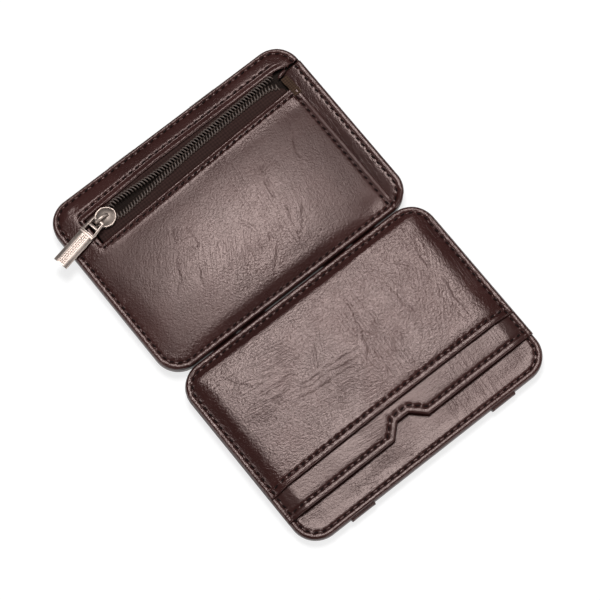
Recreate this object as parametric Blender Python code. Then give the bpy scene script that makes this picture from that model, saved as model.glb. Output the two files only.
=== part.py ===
"""Magic wallet, laid open flat with its outer faces up.

Two leather panels are tied together by four straps: a parallel pair that lies under the card
panel and a crossed pair that lies under the coin panel. The straps end at opposite edges, so
the wallet opens along either long edge.
Metres, +Z up. X runs along the panels' long side, the card panel lies at -Y, the coin panel at +Y,
and the inner faces look down at the table, z = 0.
"""

import math

import bmesh
import bpy
from mathutils import Matrix, Vector

MM = 0.001

# Panels
PANEL_LENGTH = 99.6 * MM
PANEL_WIDTH = 70.6 * MM
CORNER_RADIUS = 9.0 * MM
CORNER_STEPS = 12
HINGE_GAP = 0.6 * MM
OUTER_EDGE_GAP = 1.2 * MM
SEAT_GAP = 0.25 * MM
SIDE_GAP = 0.3 * MM

# Straps
STRAP_THICKNESS = 0.6 * MM
STRAP_WIDTH = 9.2 * MM
PARALLEL_STRAP_X = 28.7 * MM
CROSS_STRAP_X = 17.0 * MM
STRAP_FOLD_RADIUS = 0.45 * MM
STRAP_END_STEPS = 6

# Leather, board and lining
COVER_THICKNESS = 0.8 * MM
BASE_THICKNESS = 0.6 * MM
POCKET_THICKNESS = 0.6 * MM
CARD_BOARD_THICKNESS = 1.4 * MM
COIN_BOARD_THICKNESS = 1.0 * MM
LINING_THICKNESS = 0.35 * MM
BORDER_LIP = 0.35 * MM
BORDER_ROUND = 0.4 * MM
RIDGE_WIDTH = 1.0 * MM
STITCH_INSET = 2.2 * MM
STITCH_GROOVE = 0.18 * MM
BORDER_FLAT = 0.7 * MM

# Card pockets
CARD_SLOT = 0.95 * MM
CARD_PLATEAU_MARGIN = 6.9 * MM
CARD_PLATEAU_START = 4.3 * MM
CARD_PLATEAU_RADIUS = 3.0 * MM
PLATEAU_SOFTENING = 0.4 * MM
SHOULDER_SHARE = 0.88
LARGE_POCKET_DEPTH = 50.1 * MM
NOTCHED_POCKET_DEPTH = 59.8 * MM
NOTCH_MOUTH_WIDTH = 13.9 * MM
NOTCH_TOP_WIDTH = 4.6 * MM
NOTCH_DEPTH = 4.5 * MM
POCKET_OVERHANG = 0.25 * MM

# Coin pocket, its places measured from the panel's left end, right end and outer edge
WINDOW_FROM_LEFT = 10.2 * MM
WINDOW_LOWER_LEFT = 19.7 * MM
WINDOW_LOWER_RIGHT = 15.9 * MM
WINDOW_UPPER_LEFT = 9.5 * MM
WINDOW_UPPER_BEND = 8.1 * MM
WINDOW_UPPER_RIGHT = 7.9 * MM
WINDOW_BEND_FROM_LEFT = 40.8 * MM
POCKET_FRONT_FROM_RIGHT = 6.5 * MM
POCKET_RISE = 1.0 * MM
POCKET_RISE_WIDTH = 1.8 * MM
CROWN_RISE = 0.8 * MM
CROWN_MARGIN_X = 15.0 * MM
CROWN_FROM_HINGE = 14.0 * MM
CROWN_FROM_WINDOW = 9.0 * MM
CROWN_RAMP = 8.5 * MM
CROWN_STEPS = 5
GUSSET_THICKNESS = 0.5 * MM
GUSSET_TOP = 9.9 * MM
GUSSET_PLEAT_DEPTH = 2.6 * MM
GUSSET_PLEAT_RETURN = 1.4 * MM

# Zip
ZIP_FROM_LEFT = 16.1 * MM
ZIP_FROM_EDGE = 13.4 * MM
ZIP_SLOPE = math.radians(1.23)
TAPE_THICKNESS = 0.4 * MM
TAPE_TUCK = 2.6 * MM
TAPE_END_GAP = 0.5 * MM
TAPE_SIDE_GAP = 3.6 * MM
TOOTH_PITCH = 1.15 * MM
TOOTH_LENGTH = 0.9 * MM
TOOTH_SHARE = 0.5
TOOTH_HEIGHT = 1.2 * MM
ROW_CORD_WIDTH = 0.5 * MM
ROW_END_GAP = 0.4 * MM
STOP_LENGTH = 0.9 * MM
STOP_WIDTH = 3.0 * MM
STOP_HEIGHT = 1.5 * MM
ROW_SPREAD_NOSE = 0.95 * MM
POST_CLEARANCE = 0.35 * MM
# A row's middle past the slider: how far along the slider's line, and how far off it.
LOWER_ROW = ((6.0 * MM, -2.3 * MM), (24.7 * MM, -0.8 * MM), (45.7 * MM, 0.2 * MM), (74.0 * MM, 0.4 * MM))
UPPER_ROW = ((6.0 * MM, 2.6 * MM), (24.7 * MM, 1.3 * MM), (45.7 * MM, 1.95 * MM), (74.0 * MM, 2.7 * MM))

# Slider and pull
SLIDER_PLATE = 0.6 * MM
SLIDER_RUN_GAP = 0.25 * MM
SLIDER_MOUTH_RADIUS = 3.55 * MM
SLIDER_MOUTH_U = 0.45 * MM
SLIDER_NOSE_U = -4.2 * MM
SLIDER_NOSE_HALF = 2.6 * MM
SLIDER_FLANGE = 0.55 * MM
SLIDER_FLANGE_END_U = 1.2 * MM
SLIDER_POST_START_U = 0.9 * MM
SLIDER_POST_END_U = 3.5 * MM
SLIDER_POST_HALF = 0.7 * MM
SLIDER_DOME = 0.45 * MM
BAIL_WIDTH = 1.5 * MM
BAIL_INNER_START_U = -3.1 * MM
BAIL_INNER_END_U = 0.7 * MM
BAIL_THICKNESS = 0.75 * MM
PULL_PIVOT_U = -2.0 * MM
PULL_BAR = 0.85 * MM
PULL_SEAT = 0.3 * MM
PULL_THICKNESS = 1.1 * MM
PULL_WIDTH = 5.4 * MM
PULL_LENGTH = 19.4 * MM
PULL_EYE_LENGTH = 5.2 * MM
PULL_EYE_END_WIDTH = 4.4 * MM
PULL_SHOULDER = 1.1 * MM
PULL_BAND_WIDTH = 2.2 * MM
PULL_BAND_DEPTH = 0.2 * MM
PULL_BEVEL = 0.55 * MM
PULL_YAW = math.radians(10.6)
PULL_PITCH = math.radians(1.5)

# Heights, built up from the table
UPPER_STRAP_Z = STRAP_THICKNESS + SEAT_GAP
PANEL_Z = UPPER_STRAP_Z + STRAP_THICKNESS + SEAT_GAP
HINGE_Z = (UPPER_STRAP_Z + STRAP_THICKNESS) / 2
BOARD_Z = PANEL_Z + COVER_THICKNESS + SEAT_GAP
CARD_WALL_TOP = BOARD_Z + CARD_BOARD_THICKNESS + 0.05 * MM
BASE_LIP_Z = CARD_WALL_TOP + SEAT_GAP
BASE_TOP = BASE_LIP_Z + BASE_THICKNESS
NOTCHED_LIP_Z = BASE_TOP + SEAT_GAP
NOTCHED_BORDER_TOP = NOTCHED_LIP_Z + POCKET_THICKNESS
NOTCHED_TOP = BASE_TOP + CARD_SLOT + POCKET_THICKNESS
LARGE_LIP_Z = NOTCHED_BORDER_TOP + SEAT_GAP
LARGE_BORDER_TOP = LARGE_LIP_Z + POCKET_THICKNESS
LARGE_TOP = NOTCHED_TOP + CARD_SLOT + POCKET_THICKNESS
LINING_Z = BOARD_Z + COIN_BOARD_THICKNESS + SEAT_GAP
SLIDER_Z = LINING_Z + LINING_THICKNESS + SEAT_GAP
TAPE_Z = SLIDER_Z + SLIDER_PLATE + SLIDER_RUN_GAP
SKIN_TOP = TAPE_Z + TAPE_THICKNESS + SEAT_GAP + COVER_THICKNESS
SKIN_BORDER_TOP = SKIN_TOP - POCKET_RISE + STITCH_GROOVE
SKIN_LIP_Z = SKIN_BORDER_TOP - 1.05 * MM
COIN_WALL_TOP = SKIN_LIP_Z - SEAT_GAP
SLIDER_TOP_Z = TAPE_Z + TOOTH_HEIGHT + SLIDER_RUN_GAP
PULL_PIVOT_Z = SLIDER_TOP_Z + SLIDER_PLATE + SLIDER_DOME + PULL_SEAT * 0.6 + PULL_BAR / 2
STRAP_SEAM_Z = CARD_WALL_TOP - SEAT_GAP - STRAP_THICKNESS / 2 + 0.2 * MM

# Places along Y
CARD_INNER_Y = -HINGE_GAP / 2
CARD_OUTER_Y = CARD_INNER_Y - PANEL_WIDTH
COIN_INNER_Y = HINGE_GAP / 2
COIN_OUTER_Y = COIN_INNER_Y + PANEL_WIDTH
AXIS_Y = COIN_OUTER_Y + OUTER_EDGE_GAP / 2
CARD_SPAN = (CARD_OUTER_Y, CARD_INNER_Y)
COIN_SPAN = (COIN_INNER_Y, COIN_OUTER_Y)

# Places on the coin panel
LEFT_END_X = -PANEL_LENGTH / 2
RIGHT_END_X = PANEL_LENGTH / 2
POCKET_FRONT_EDGE_X = RIGHT_END_X - POCKET_FRONT_FROM_RIGHT
WINDOW_LEFT_X = LEFT_END_X + WINDOW_FROM_LEFT
WINDOW_LOWER_LEFT_Y = COIN_OUTER_Y - WINDOW_LOWER_LEFT
WINDOW_LOWER_RIGHT_Y = COIN_OUTER_Y - WINDOW_LOWER_RIGHT
WINDOW_UPPER_LEFT_Y = COIN_OUTER_Y - WINDOW_UPPER_LEFT
WINDOW_UPPER_MIDDLE = (LEFT_END_X + WINDOW_BEND_FROM_LEFT, COIN_OUTER_Y - WINDOW_UPPER_BEND)
WINDOW_UPPER_RIGHT_Y = COIN_OUTER_Y - WINDOW_UPPER_RIGHT
CROWN_BOTTOM_Y = COIN_INNER_Y + CROWN_FROM_HINGE
CROWN_TOP_Y = WINDOW_LOWER_LEFT_Y - CROWN_FROM_WINDOW
GUSSET_TOP_Y = COIN_OUTER_Y - GUSSET_TOP
ZIP_REST_X = LEFT_END_X + ZIP_FROM_LEFT
ZIP_REST_Y = COIN_OUTER_Y - ZIP_FROM_EDGE
TAPE_LEFT_X = WINDOW_LEFT_X + TAPE_END_GAP
TAPE_RIGHT_X = POCKET_FRONT_EDGE_X - TAPE_SIDE_GAP
ROW_END_X = TAPE_RIGHT_X - ROW_END_GAP

# The part's origin lies under the middle of the whole, pull included
PULL_TIP_X = (
    ZIP_REST_X
    + PULL_PIVOT_U * math.cos(ZIP_SLOPE)
    - PULL_LENGTH * math.cos(PULL_YAW) * math.cos(PULL_PITCH)
    - PULL_WIDTH / 2 * math.sin(PULL_YAW)
)
ORIGIN_SHIFT_X = -(PULL_TIP_X + PANEL_LENGTH / 2 + POCKET_OVERHANG) / 2


def clear_scene():
    for obj in list(bpy.data.objects):
        bpy.data.objects.remove(obj, do_unlink=True)


def make_material(name, colour, roughness, metallic=0.0):
    mat = bpy.data.materials.new(name)
    mat.use_nodes = True
    shader = mat.node_tree.nodes["Principled BSDF"]
    shader.inputs["Base Color"].default_value = (*colour, 1.0)
    shader.inputs["Roughness"].default_value = roughness
    shader.inputs["Metallic"].default_value = metallic
    mat.diffuse_color = (*colour, 1.0)
    return mat


def make_empty(name, parent, place, parent_place):
    empty = bpy.data.objects.new(name, None)
    empty.empty_display_size = 10 * MM
    empty.location = place - parent_place
    empty.parent = parent
    bpy.context.scene.collection.objects.link(empty)
    return empty


def finish_object(bm, name, mat, holder, pivot=Vector((0, 0, 0)), sharp=35):
    """Write the bmesh, drawn in the wallet's coordinates, as an object with its origin at pivot."""
    mesh = bpy.data.meshes.new(name)
    bm.to_mesh(mesh)
    bm.free()
    mesh.transform(Matrix.Translation(-pivot))
    mesh.materials.append(mat)
    mesh.shade_smooth()
    mesh.set_sharp_from_angle(angle=math.radians(sharp))
    obj = bpy.data.objects.new(name, mesh)
    empty, empty_place = holder
    obj.parent = empty
    obj.location = pivot - empty_place
    bpy.context.scene.collection.objects.link(obj)
    return obj


def as_cutter(obj):
    obj.hide_render = True
    obj.display_type = "WIRE"
    return obj


def add_boolean(obj, other, operation):
    step = obj.modifiers.new(operation.lower(), "BOOLEAN")
    step.operation = operation
    step.object = other


def arc_points(cx, cy, radius, start, end, steps):
    points = []
    for i in range(steps + 1):
        angle = math.radians(start + (end - start) * i / steps)
        points.append((cx + radius * math.cos(angle), cy + radius * math.sin(angle)))
    return points


def rounded_rectangle(x0, x1, y0, y1, radius, steps=CORNER_STEPS):
    corners = (
        (x1 - radius, y0 + radius, -90),
        (x1 - radius, y1 - radius, 0),
        (x0 + radius, y1 - radius, 90),
        (x0 + radius, y0 + radius, 180),
    )
    points = []
    for cx, cy, start in corners:
        points += arc_points(cx, cy, radius, start, start + 90, steps)
    return points


def panel_ring(span_y, inset, z, overhang=0.0):
    """Ring of the panel's outline, inset all round, at height z."""
    half = PANEL_LENGTH / 2 + overhang - inset
    y0, y1 = span_y
    radius = CORNER_RADIUS - inset
    points = rounded_rectangle(-half, half, y0 + inset, y1 - inset, radius)
    return [(x, y, z) for x, y in points]


def box_ring(box, radius, z):
    x0, x1, y0, y1 = box
    return [(x, y, z) for x, y in rounded_rectangle(x0, x1, y0, y1, radius)]


def face_outwards(bm):
    bmesh.ops.recalc_face_normals(bm, faces=bm.faces)
    if bm.calc_volume(signed=True) < 0:
        bmesh.ops.reverse_faces(bm, faces=bm.faces)


def loft(rings):
    """Closed solid extruded ring by ring through rings of equally many points."""
    bm = bmesh.new()
    face = bm.faces.new([bm.verts.new(point) for point in rings[0]])
    for ring in rings[1:]:
        face = bmesh.ops.extrude_discrete_faces(bm, faces=[face])["faces"][0]
        for vert, point in zip(face.verts, ring):
            vert.co = point
    bmesh.ops.holes_fill(bm, edges=[edge for edge in bm.edges if edge.is_boundary])
    face_outwards(bm)
    return bm


def border_rings(span_y, lip_z, top, overhang=0.0):
    """Outer side of a sewn border: round edge, ridge, stitch groove and the flat inside it."""
    edge = top - BORDER_LIP
    return [
        panel_ring(span_y, 0.0, lip_z, overhang),
        panel_ring(span_y, 0.0, edge, overhang),
        panel_ring(span_y, BORDER_ROUND * 0.3, edge + BORDER_LIP * 0.6, overhang),
        panel_ring(span_y, BORDER_ROUND, edge + BORDER_LIP * 0.9, overhang),
        panel_ring(span_y, RIDGE_WIDTH, top, overhang),
        panel_ring(span_y, STITCH_INSET, top - STITCH_GROOVE, overhang),
        panel_ring(span_y, STITCH_INSET + BORDER_FLAT, top - STITCH_GROOVE, overhang),
    ]


def pull_out(bm, face, direction):
    """Extrude a face along direction into a closed solid."""
    out = bmesh.ops.extrude_face_region(bm, geom=[face], use_keep_orig=True)
    moved = [g for g in out["geom"] if isinstance(g, bmesh.types.BMVert)]
    bmesh.ops.translate(bm, verts=moved, vec=direction)
    face_outwards(bm)
    return bm


def prism(points, z0, z1):
    bm = bmesh.new()
    face = bm.faces.new([bm.verts.new((x, y, z0)) for x, y in points])
    return pull_out(bm, face, (0, 0, z1 - z0))


def ribbon_outline(path, thickness):
    """Closed outline of a strip of the given thickness whose middle follows path."""
    left, right = [], []
    for i, point in enumerate(path):
        here = Vector(point)
        back = (here - Vector(path[i - 1])).normalized() if i else None
        ahead = (Vector(path[i + 1]) - here).normalized() if i + 1 < len(path) else None
        along = (back or ahead) + (ahead or back)
        normal = Vector((-along.y, along.x)).normalized()
        one = back or ahead
        reach = thickness / 2 / max(0.5, normal.dot(Vector((-one.y, one.x))))
        left.append(tuple(here + normal * reach))
        right.append(tuple(here - normal * reach))
    return left + right[::-1]


def extrude_along_x(profile, x0, x1, shear=0.0, shear_y=0.0):
    """Solid from a (y, z) profile, between x0 and x1, leaning by shear for each metre of y."""
    bm = bmesh.new()
    face = bm.faces.new([bm.verts.new((x0, y, z)) for y, z in profile])
    pull_out(bm, face, (x1 - x0, 0, 0))
    for v in bm.verts:
        v.co.x += shear * (v.co.y - shear_y)
    return bm


def extrude_along_y(profile, y0, y1):
    """Solid from an (x, z) profile, between y0 and y1."""
    bm = bmesh.new()
    face = bm.faces.new([bm.verts.new((x, y0, z)) for x, z in profile])
    return pull_out(bm, face, (0, y1 - y0, 0))


def strap_slots(y_edge, inward, places, seam_only):
    """Cutter boxes for the strap ends sewn into a panel's edge."""
    low = STRAP_SEAM_Z - STRAP_THICKNESS / 2 - SIDE_GAP if seam_only else PANEL_Z - 1 * MM
    high = STRAP_SEAM_Z + STRAP_THICKNESS / 2 + SIDE_GAP
    y0 = y_edge - inward * 1 * MM
    y1 = y_edge + inward * (COVER_THICKNESS + 0.2 * MM)
    boxes = []
    for x, half_width in places:
        half = half_width + SIDE_GAP
        points = [(x - half, y0), (x + half, y0), (x + half, y1), (x - half, y1)]
        boxes.append(prism(points, low, high))
    return boxes


def cut_with(obj, bm, name, mat, holder, operation="DIFFERENCE"):
    other = as_cutter(finish_object(bm, name, mat, holder))
    add_boolean(obj, other, operation)


def make_tray(name, span_y, wall_top, mat, holder, slots):
    """Inner face leather: a shallow tray whose turned-up wall makes the panel's edge."""
    wall = COVER_THICKNESS
    floor = PANEL_Z + COVER_THICKNESS
    rings = [
        panel_ring(span_y, BORDER_ROUND, PANEL_Z),
        panel_ring(span_y, BORDER_ROUND * 0.3, PANEL_Z + BORDER_ROUND * 0.3),
        panel_ring(span_y, 0.0, PANEL_Z + BORDER_ROUND),
        panel_ring(span_y, 0.0, wall_top),
        panel_ring(span_y, wall, wall_top),
        panel_ring(span_y, wall, floor),
    ]
    tray = finish_object(loft(rings), name, mat, holder)
    for i, slot in enumerate(slots):
        cut_with(tray, slot, f"{name}_slot_{i}", mat, holder)
    return tray


def make_slab(name, span_y, inset, z0, thickness, mat, holder):
    rings = [panel_ring(span_y, inset, z0), panel_ring(span_y, inset, z0 + thickness)]
    return finish_object(loft(rings), name, mat, holder)


def make_base_cover(mat, holder):
    """Card panel's outer leather, bare along the outer edge and under the pockets elsewhere."""
    inside = [panel_ring(CARD_SPAN, STITCH_INSET, BASE_LIP_Z)]
    rings = inside + border_rings(CARD_SPAN, BASE_LIP_Z, BASE_TOP)
    return finish_object(loft(rings), "card_base_cover", mat, holder)


def pocket_solid(lip_z, border_top, top, overhang):
    """A card pocket's front: sewn border, a slope inside the stitching and the card-shaped plateau."""
    half = PANEL_LENGTH / 2 - CARD_PLATEAU_MARGIN
    y0, y1 = CARD_OUTER_Y + CARD_PLATEAU_START, CARD_INNER_Y - CARD_PLATEAU_START
    soft = PLATEAU_SOFTENING
    shoulder = (-half - soft, half + soft, y0 - soft, y1 + soft)
    plateau = (-half + soft, half - soft, y0 + soft, y1 - soft)
    flat = border_top - STITCH_GROOVE
    under = top - POCKET_THICKNESS
    radius = CARD_PLATEAU_RADIUS
    outside = border_rings(CARD_SPAN, lip_z, border_top, overhang)
    outside += [
        box_ring(shoulder, radius, flat + (top - flat) * SHOULDER_SHARE),
        box_ring(plateau, radius, top),
    ]
    inside = [
        box_ring(plateau, radius, under),
        box_ring(shoulder, radius, lip_z + (under - lip_z) * SHOULDER_SHARE),
        panel_ring(CARD_SPAN, STITCH_INSET + BORDER_FLAT, lip_z, overhang),
        panel_ring(CARD_SPAN, STITCH_INSET, lip_z, overhang),
    ]
    return loft(inside + outside)


def mouth_cutter(depth, low, high, notch=()):
    """Everything past a pocket's mouth, less what the notch takes out of the pocket."""
    mouth_y = CARD_INNER_Y - depth
    reach = PANEL_LENGTH
    points = [(-reach, mouth_y)] + [(x, mouth_y + y) for x, y in notch] + [(reach, mouth_y)]
    points += [(reach, mouth_y - reach), (-reach, mouth_y - reach)]
    return prism(points, low - 1 * MM, high + 1 * MM)


def make_large_pocket(mat, holder):
    bm = pocket_solid(LARGE_LIP_Z, LARGE_BORDER_TOP, LARGE_TOP, 0.0)
    pocket = finish_object(bm, "large_card_pocket", mat, holder)
    cutter = mouth_cutter(LARGE_POCKET_DEPTH, LARGE_LIP_Z, LARGE_TOP)
    cut_with(pocket, cutter, "large_pocket_mouth", mat, holder)
    return pocket


def make_notched_pocket(mat, holder):
    bm = pocket_solid(NOTCHED_LIP_Z, NOTCHED_BORDER_TOP, NOTCHED_TOP, POCKET_OVERHANG)
    pocket = finish_object(bm, "notched_card_pocket", mat, holder)
    notch = [
        (-NOTCH_MOUTH_WIDTH / 2, 0),
        (-NOTCH_TOP_WIDTH / 2, NOTCH_DEPTH),
        (NOTCH_TOP_WIDTH / 2, NOTCH_DEPTH),
        (NOTCH_MOUTH_WIDTH / 2, 0),
    ]
    cutter = mouth_cutter(NOTCHED_POCKET_DEPTH, NOTCHED_LIP_Z, NOTCHED_TOP, notch)
    cut_with(pocket, cutter, "notched_pocket_mouth", mat, holder)
    return pocket


def make_coin_skin(mat, holder):
    """Coin panel's outer leather: top strip, left strip and pocket front round the zip window."""
    flat = SKIN_BORDER_TOP - STITCH_GROOVE
    inset = STITCH_INSET + BORDER_FLAT
    outside = border_rings(COIN_SPAN, SKIN_LIP_Z, SKIN_BORDER_TOP)
    outside += [
        panel_ring(COIN_SPAN, inset + POCKET_RISE_WIDTH * 0.5, flat + POCKET_RISE * 0.65),
        panel_ring(COIN_SPAN, inset + POCKET_RISE_WIDTH, SKIN_TOP),
    ]
    half = PANEL_LENGTH / 2 - CROWN_MARGIN_X
    radius = CORNER_RADIUS - inset - POCKET_RISE_WIDTH
    crown = []
    for i in range(CROWN_STEPS + 1):
        share = i / CROWN_STEPS
        rise = math.sin(math.pi / 2 * share) ** 2
        grow = CROWN_RAMP * (1 - share)
        box = (-half - grow, half + grow, CROWN_BOTTOM_Y - grow, CROWN_TOP_Y + grow)
        crown.append((box, SKIN_TOP + CROWN_RISE * rise))
    outside += [box_ring(box, radius, z) for box, z in crown]
    inside = [box_ring(box, radius, z - COVER_THICKNESS) for box, z in crown[::-1]]
    inside += [
        panel_ring(COIN_SPAN, inset + POCKET_RISE_WIDTH, SKIN_TOP - COVER_THICKNESS),
        panel_ring(COIN_SPAN, inset, flat - COVER_THICKNESS),
        panel_ring(COIN_SPAN, COVER_THICKNESS, SKIN_LIP_Z),
    ]
    skin = finish_object(loft(inside + outside), "coin_pocket_skin", mat, holder)
    far = PANEL_LENGTH
    below = COIN_INNER_Y - 5 * MM
    points = [
        (WINDOW_LEFT_X, WINDOW_LOWER_LEFT_Y),
        (POCKET_FRONT_EDGE_X, WINDOW_LOWER_RIGHT_Y),
        (POCKET_FRONT_EDGE_X, below),
        (far, below),
        (far, WINDOW_UPPER_RIGHT_Y),
        (POCKET_FRONT_EDGE_X, WINDOW_UPPER_RIGHT_Y),
        WINDOW_UPPER_MIDDLE,
        (WINDOW_LEFT_X, WINDOW_UPPER_LEFT_Y),
    ]
    window = prism(points, SKIN_LIP_Z - 1 * MM, SKIN_TOP + 3 * MM)
    cut_with(skin, window, "zip_window_cutter", mat, holder)
    return skin


def make_gusset(mat, holder):
    """Pleated leather that closes the coin pocket's right side and folds in under its edge."""
    top = SKIN_BORDER_TOP
    flat = top - STITCH_GROOVE
    inside = [
        panel_ring(COIN_SPAN, STITCH_INSET + BORDER_FLAT, flat - GUSSET_THICKNESS, POCKET_OVERHANG),
        panel_ring(COIN_SPAN, STITCH_INSET, flat - GUSSET_THICKNESS, POCKET_OVERHANG),
        panel_ring(COIN_SPAN, GUSSET_THICKNESS, SKIN_LIP_Z, POCKET_OVERHANG),
    ]
    bm = loft(inside + border_rings(COIN_SPAN, SKIN_LIP_Z, top, POCKET_OVERHANG))
    gusset = finish_object(bm, "pocket_gusset", mat, holder)
    inner_x = POCKET_FRONT_EDGE_X + SIDE_GAP
    far = PANEL_LENGTH
    keep = [(inner_x, -far), (far, -far), (far, GUSSET_TOP_Y), (inner_x, GUSSET_TOP_Y)]
    cut_with(gusset, prism(keep, 0, far), "gusset_limit", mat, holder, "INTERSECT")
    middle = GUSSET_THICKNESS / 2
    lower_z = LINING_Z + LINING_THICKNESS + SEAT_GAP + middle
    upper_z = lower_z + GUSSET_THICKNESS + SEAT_GAP
    fold_radius = (upper_z - lower_z) / 2
    fold_x = inner_x - GUSSET_PLEAT_DEPTH + fold_radius + middle
    path = [
        (inner_x + 1.2 * MM, flat - middle - 0.02 * MM),
        (inner_x + 0.4 * MM, flat - middle - 0.02 * MM),
        (inner_x - 0.6 * MM, lower_z),
        (fold_x, lower_z),
    ]
    path += arc_points(fold_x, lower_z + fold_radius, fold_radius, 270, 90, 6)[1:]
    path.append((fold_x + GUSSET_PLEAT_RETURN, upper_z))
    pleat_start = COIN_INNER_Y + STITCH_INSET + BORDER_FLAT + POCKET_RISE_WIDTH + SIDE_GAP
    outline = ribbon_outline(path, GUSSET_THICKNESS)
    pleat = extrude_along_y(outline, pleat_start, GUSSET_TOP_Y - 0.4 * MM)
    cut_with(gusset, pleat, "gusset_pleat", mat, holder, "UNION")
    return gusset


def zip_point(u, v):
    """Point of the panel at u along the slider's line from the resting slider, v across it."""
    along = Vector((math.cos(ZIP_SLOPE), math.sin(ZIP_SLOPE)))
    across = Vector((-math.sin(ZIP_SLOPE), math.cos(ZIP_SLOPE)))
    return Vector((ZIP_REST_X, ZIP_REST_Y)) + along * u + across * v


def row_places(side):
    """Places a row's middle passes, as (along the slider's line, off it), nose to far end."""
    clear = SLIDER_POST_HALF + (TOOTH_LENGTH + ROW_CORD_WIDTH) / 2 + POST_CLEARANCE
    inside = [
        (SLIDER_NOSE_U - TOOTH_PITCH, side * ROW_SPREAD_NOSE),
        (SLIDER_NOSE_U, side * ROW_SPREAD_NOSE),
        (SLIDER_POST_START_U, side * clear),
        (SLIDER_POST_END_U, side * (clear + 0.1 * MM)),
    ]
    return inside + list(LOWER_ROW if side < 0 else UPPER_ROW)


def row_offset(u, side):
    """Distance of a row's middle from the slider's line, on a smooth curve through its places."""
    places = row_places(side)
    slopes = []
    for i in range(len(places)):
        back, ahead = places[max(0, i - 1)], places[min(len(places) - 1, i + 1)]
        slopes.append((ahead[1] - back[1]) / (ahead[0] - back[0]))
    i = 0
    while i < len(places) - 2 and u > places[i + 1][0]:
        i += 1
    (u0, v0), (u1, v1) = places[i], places[i + 1]
    t = min(1.0, max(0.0, (u - u0) / (u1 - u0)))
    bend = v0 * (1 + 2 * t) * (1 - t) ** 2 + v1 * t * t * (3 - 2 * t)
    return bend + (u1 - u0) * t * (1 - t) * (slopes[i] * (1 - t) - slopes[i + 1] * t)


def make_teeth(name, side, mat, holder):
    """A row of zip teeth on its cord, as one comb."""
    bm = bmesh.new()
    row_half = (TOOTH_LENGTH + ROW_CORD_WIDTH) / 2
    start = SLIDER_NOSE_U + 0.6 * MM
    count = int((ROW_END_X - ZIP_REST_X - start) / TOOTH_PITCH)
    phase = 0.0 if side < 0 else TOOTH_PITCH / 2
    stations = []
    for i in range(count):
        u = start + phase + i * TOOTH_PITCH
        stations += [u, u + TOOTH_PITCH * TOOTH_SHARE]
    rows = []
    for u in stations:
        middle = row_offset(u, side)
        root = middle + side * row_half
        neck = root - side * ROW_CORD_WIDTH
        tip = middle - side * row_half
        points = [zip_point(u, v) for v in (root, neck, tip)]
        rows.append([bm.verts.new((p.x, p.y, TAPE_Z)) for p in points])
    for i in range(len(rows) - 1):
        a, b = rows[i], rows[i + 1]
        bm.faces.new((a[0], b[0], b[1], a[1]))
        if i % 2 == 0:
            bm.faces.new((a[1], b[1], b[2], a[2]))
    loose = [v for v in bm.verts if not v.link_faces]
    bmesh.ops.delete(bm, geom=loose, context="VERTS")
    out = bmesh.ops.extrude_face_region(bm, geom=list(bm.faces), use_keep_orig=True)
    moved = [g for g in out["geom"] if isinstance(g, bmesh.types.BMVert)]
    bmesh.ops.translate(bm, verts=moved, vec=(0, 0, TOOTH_HEIGHT))
    face_outwards(bm)
    return finish_object(bm, name, mat, holder)


def make_tape(name, side, mat, holder):
    """Woven tape from under the leather to the root of its row of teeth."""
    row_half = (TOOTH_LENGTH + ROW_CORD_WIDTH) / 2
    steps = 24
    row_edge, sewn_edge = [], []
    for i in range(steps + 1):
        x = TAPE_LEFT_X + (TAPE_RIGHT_X - TAPE_LEFT_X) * i / steps
        u = x - ZIP_REST_X
        root = row_offset(u, side) + side * (row_half + SIDE_GAP)
        row_edge.append(tuple(zip_point(u, root)))
    x0, x1 = row_edge[0][0], row_edge[-1][0]
    if side < 0:
        slope = (WINDOW_LOWER_RIGHT_Y - WINDOW_LOWER_LEFT_Y) / (POCKET_FRONT_EDGE_X - WINDOW_LEFT_X)
        for x in (x1, x0):
            y = WINDOW_LOWER_LEFT_Y + slope * (x - WINDOW_LEFT_X) - TAPE_TUCK
            sewn_edge.append((x, y))
    else:
        mid_x, mid_y = WINDOW_UPPER_MIDDLE
        sewn_edge = [
            (x1, WINDOW_UPPER_RIGHT_Y + TAPE_TUCK),
            (mid_x, mid_y + TAPE_TUCK),
            (x0, WINDOW_UPPER_LEFT_Y + TAPE_TUCK),
        ]
    bm = prism(row_edge + sewn_edge, TAPE_Z, TAPE_Z + TAPE_THICKNESS)
    return finish_object(bm, name, mat, holder)


def make_zip_stop(mat, holder):
    u = SLIDER_NOSE_U - STOP_LENGTH / 2 - SIDE_GAP
    points = []
    for du, v in ((-1, -1), (1, -1), (1, 1), (-1, 1)):
        points.append(tuple(zip_point(u + du * STOP_LENGTH / 2, v * STOP_WIDTH / 2)))
    bm = prism(points, TAPE_Z, TAPE_Z + STOP_HEIGHT)
    bmesh.ops.bevel(
        bm, geom=list(bm.edges), offset=0.2 * MM, segments=1, affect="EDGES", profile=0.5, material=-1
    )
    return finish_object(bm, "zip_stop", mat, holder)


def slider_outline(inset=0.0):
    """Teardrop: a round mouth end and straight flanks that narrow to the nose."""
    radius = SLIDER_MOUTH_RADIUS - inset
    nose_half = SLIDER_NOSE_HALF - inset
    nose_u = SLIDER_NOSE_U + inset
    reach = SLIDER_MOUTH_U - nose_u
    lean = math.degrees(math.asin((radius - nose_half) / math.hypot(reach, nose_half)))
    start = -(90 + lean)
    points = arc_points(SLIDER_MOUTH_U, 0, radius, start, -start, 18)
    corner = 0.7 * MM
    points += [
        (nose_u + corner, nose_half),
        (nose_u + corner * 0.3, nose_half - corner * 0.3),
        (nose_u, nose_half - corner),
        (nose_u, -nose_half + corner),
        (nose_u + corner * 0.3, -nose_half + corner * 0.3),
        (nose_u + corner, -nose_half),
    ]
    return points


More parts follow.
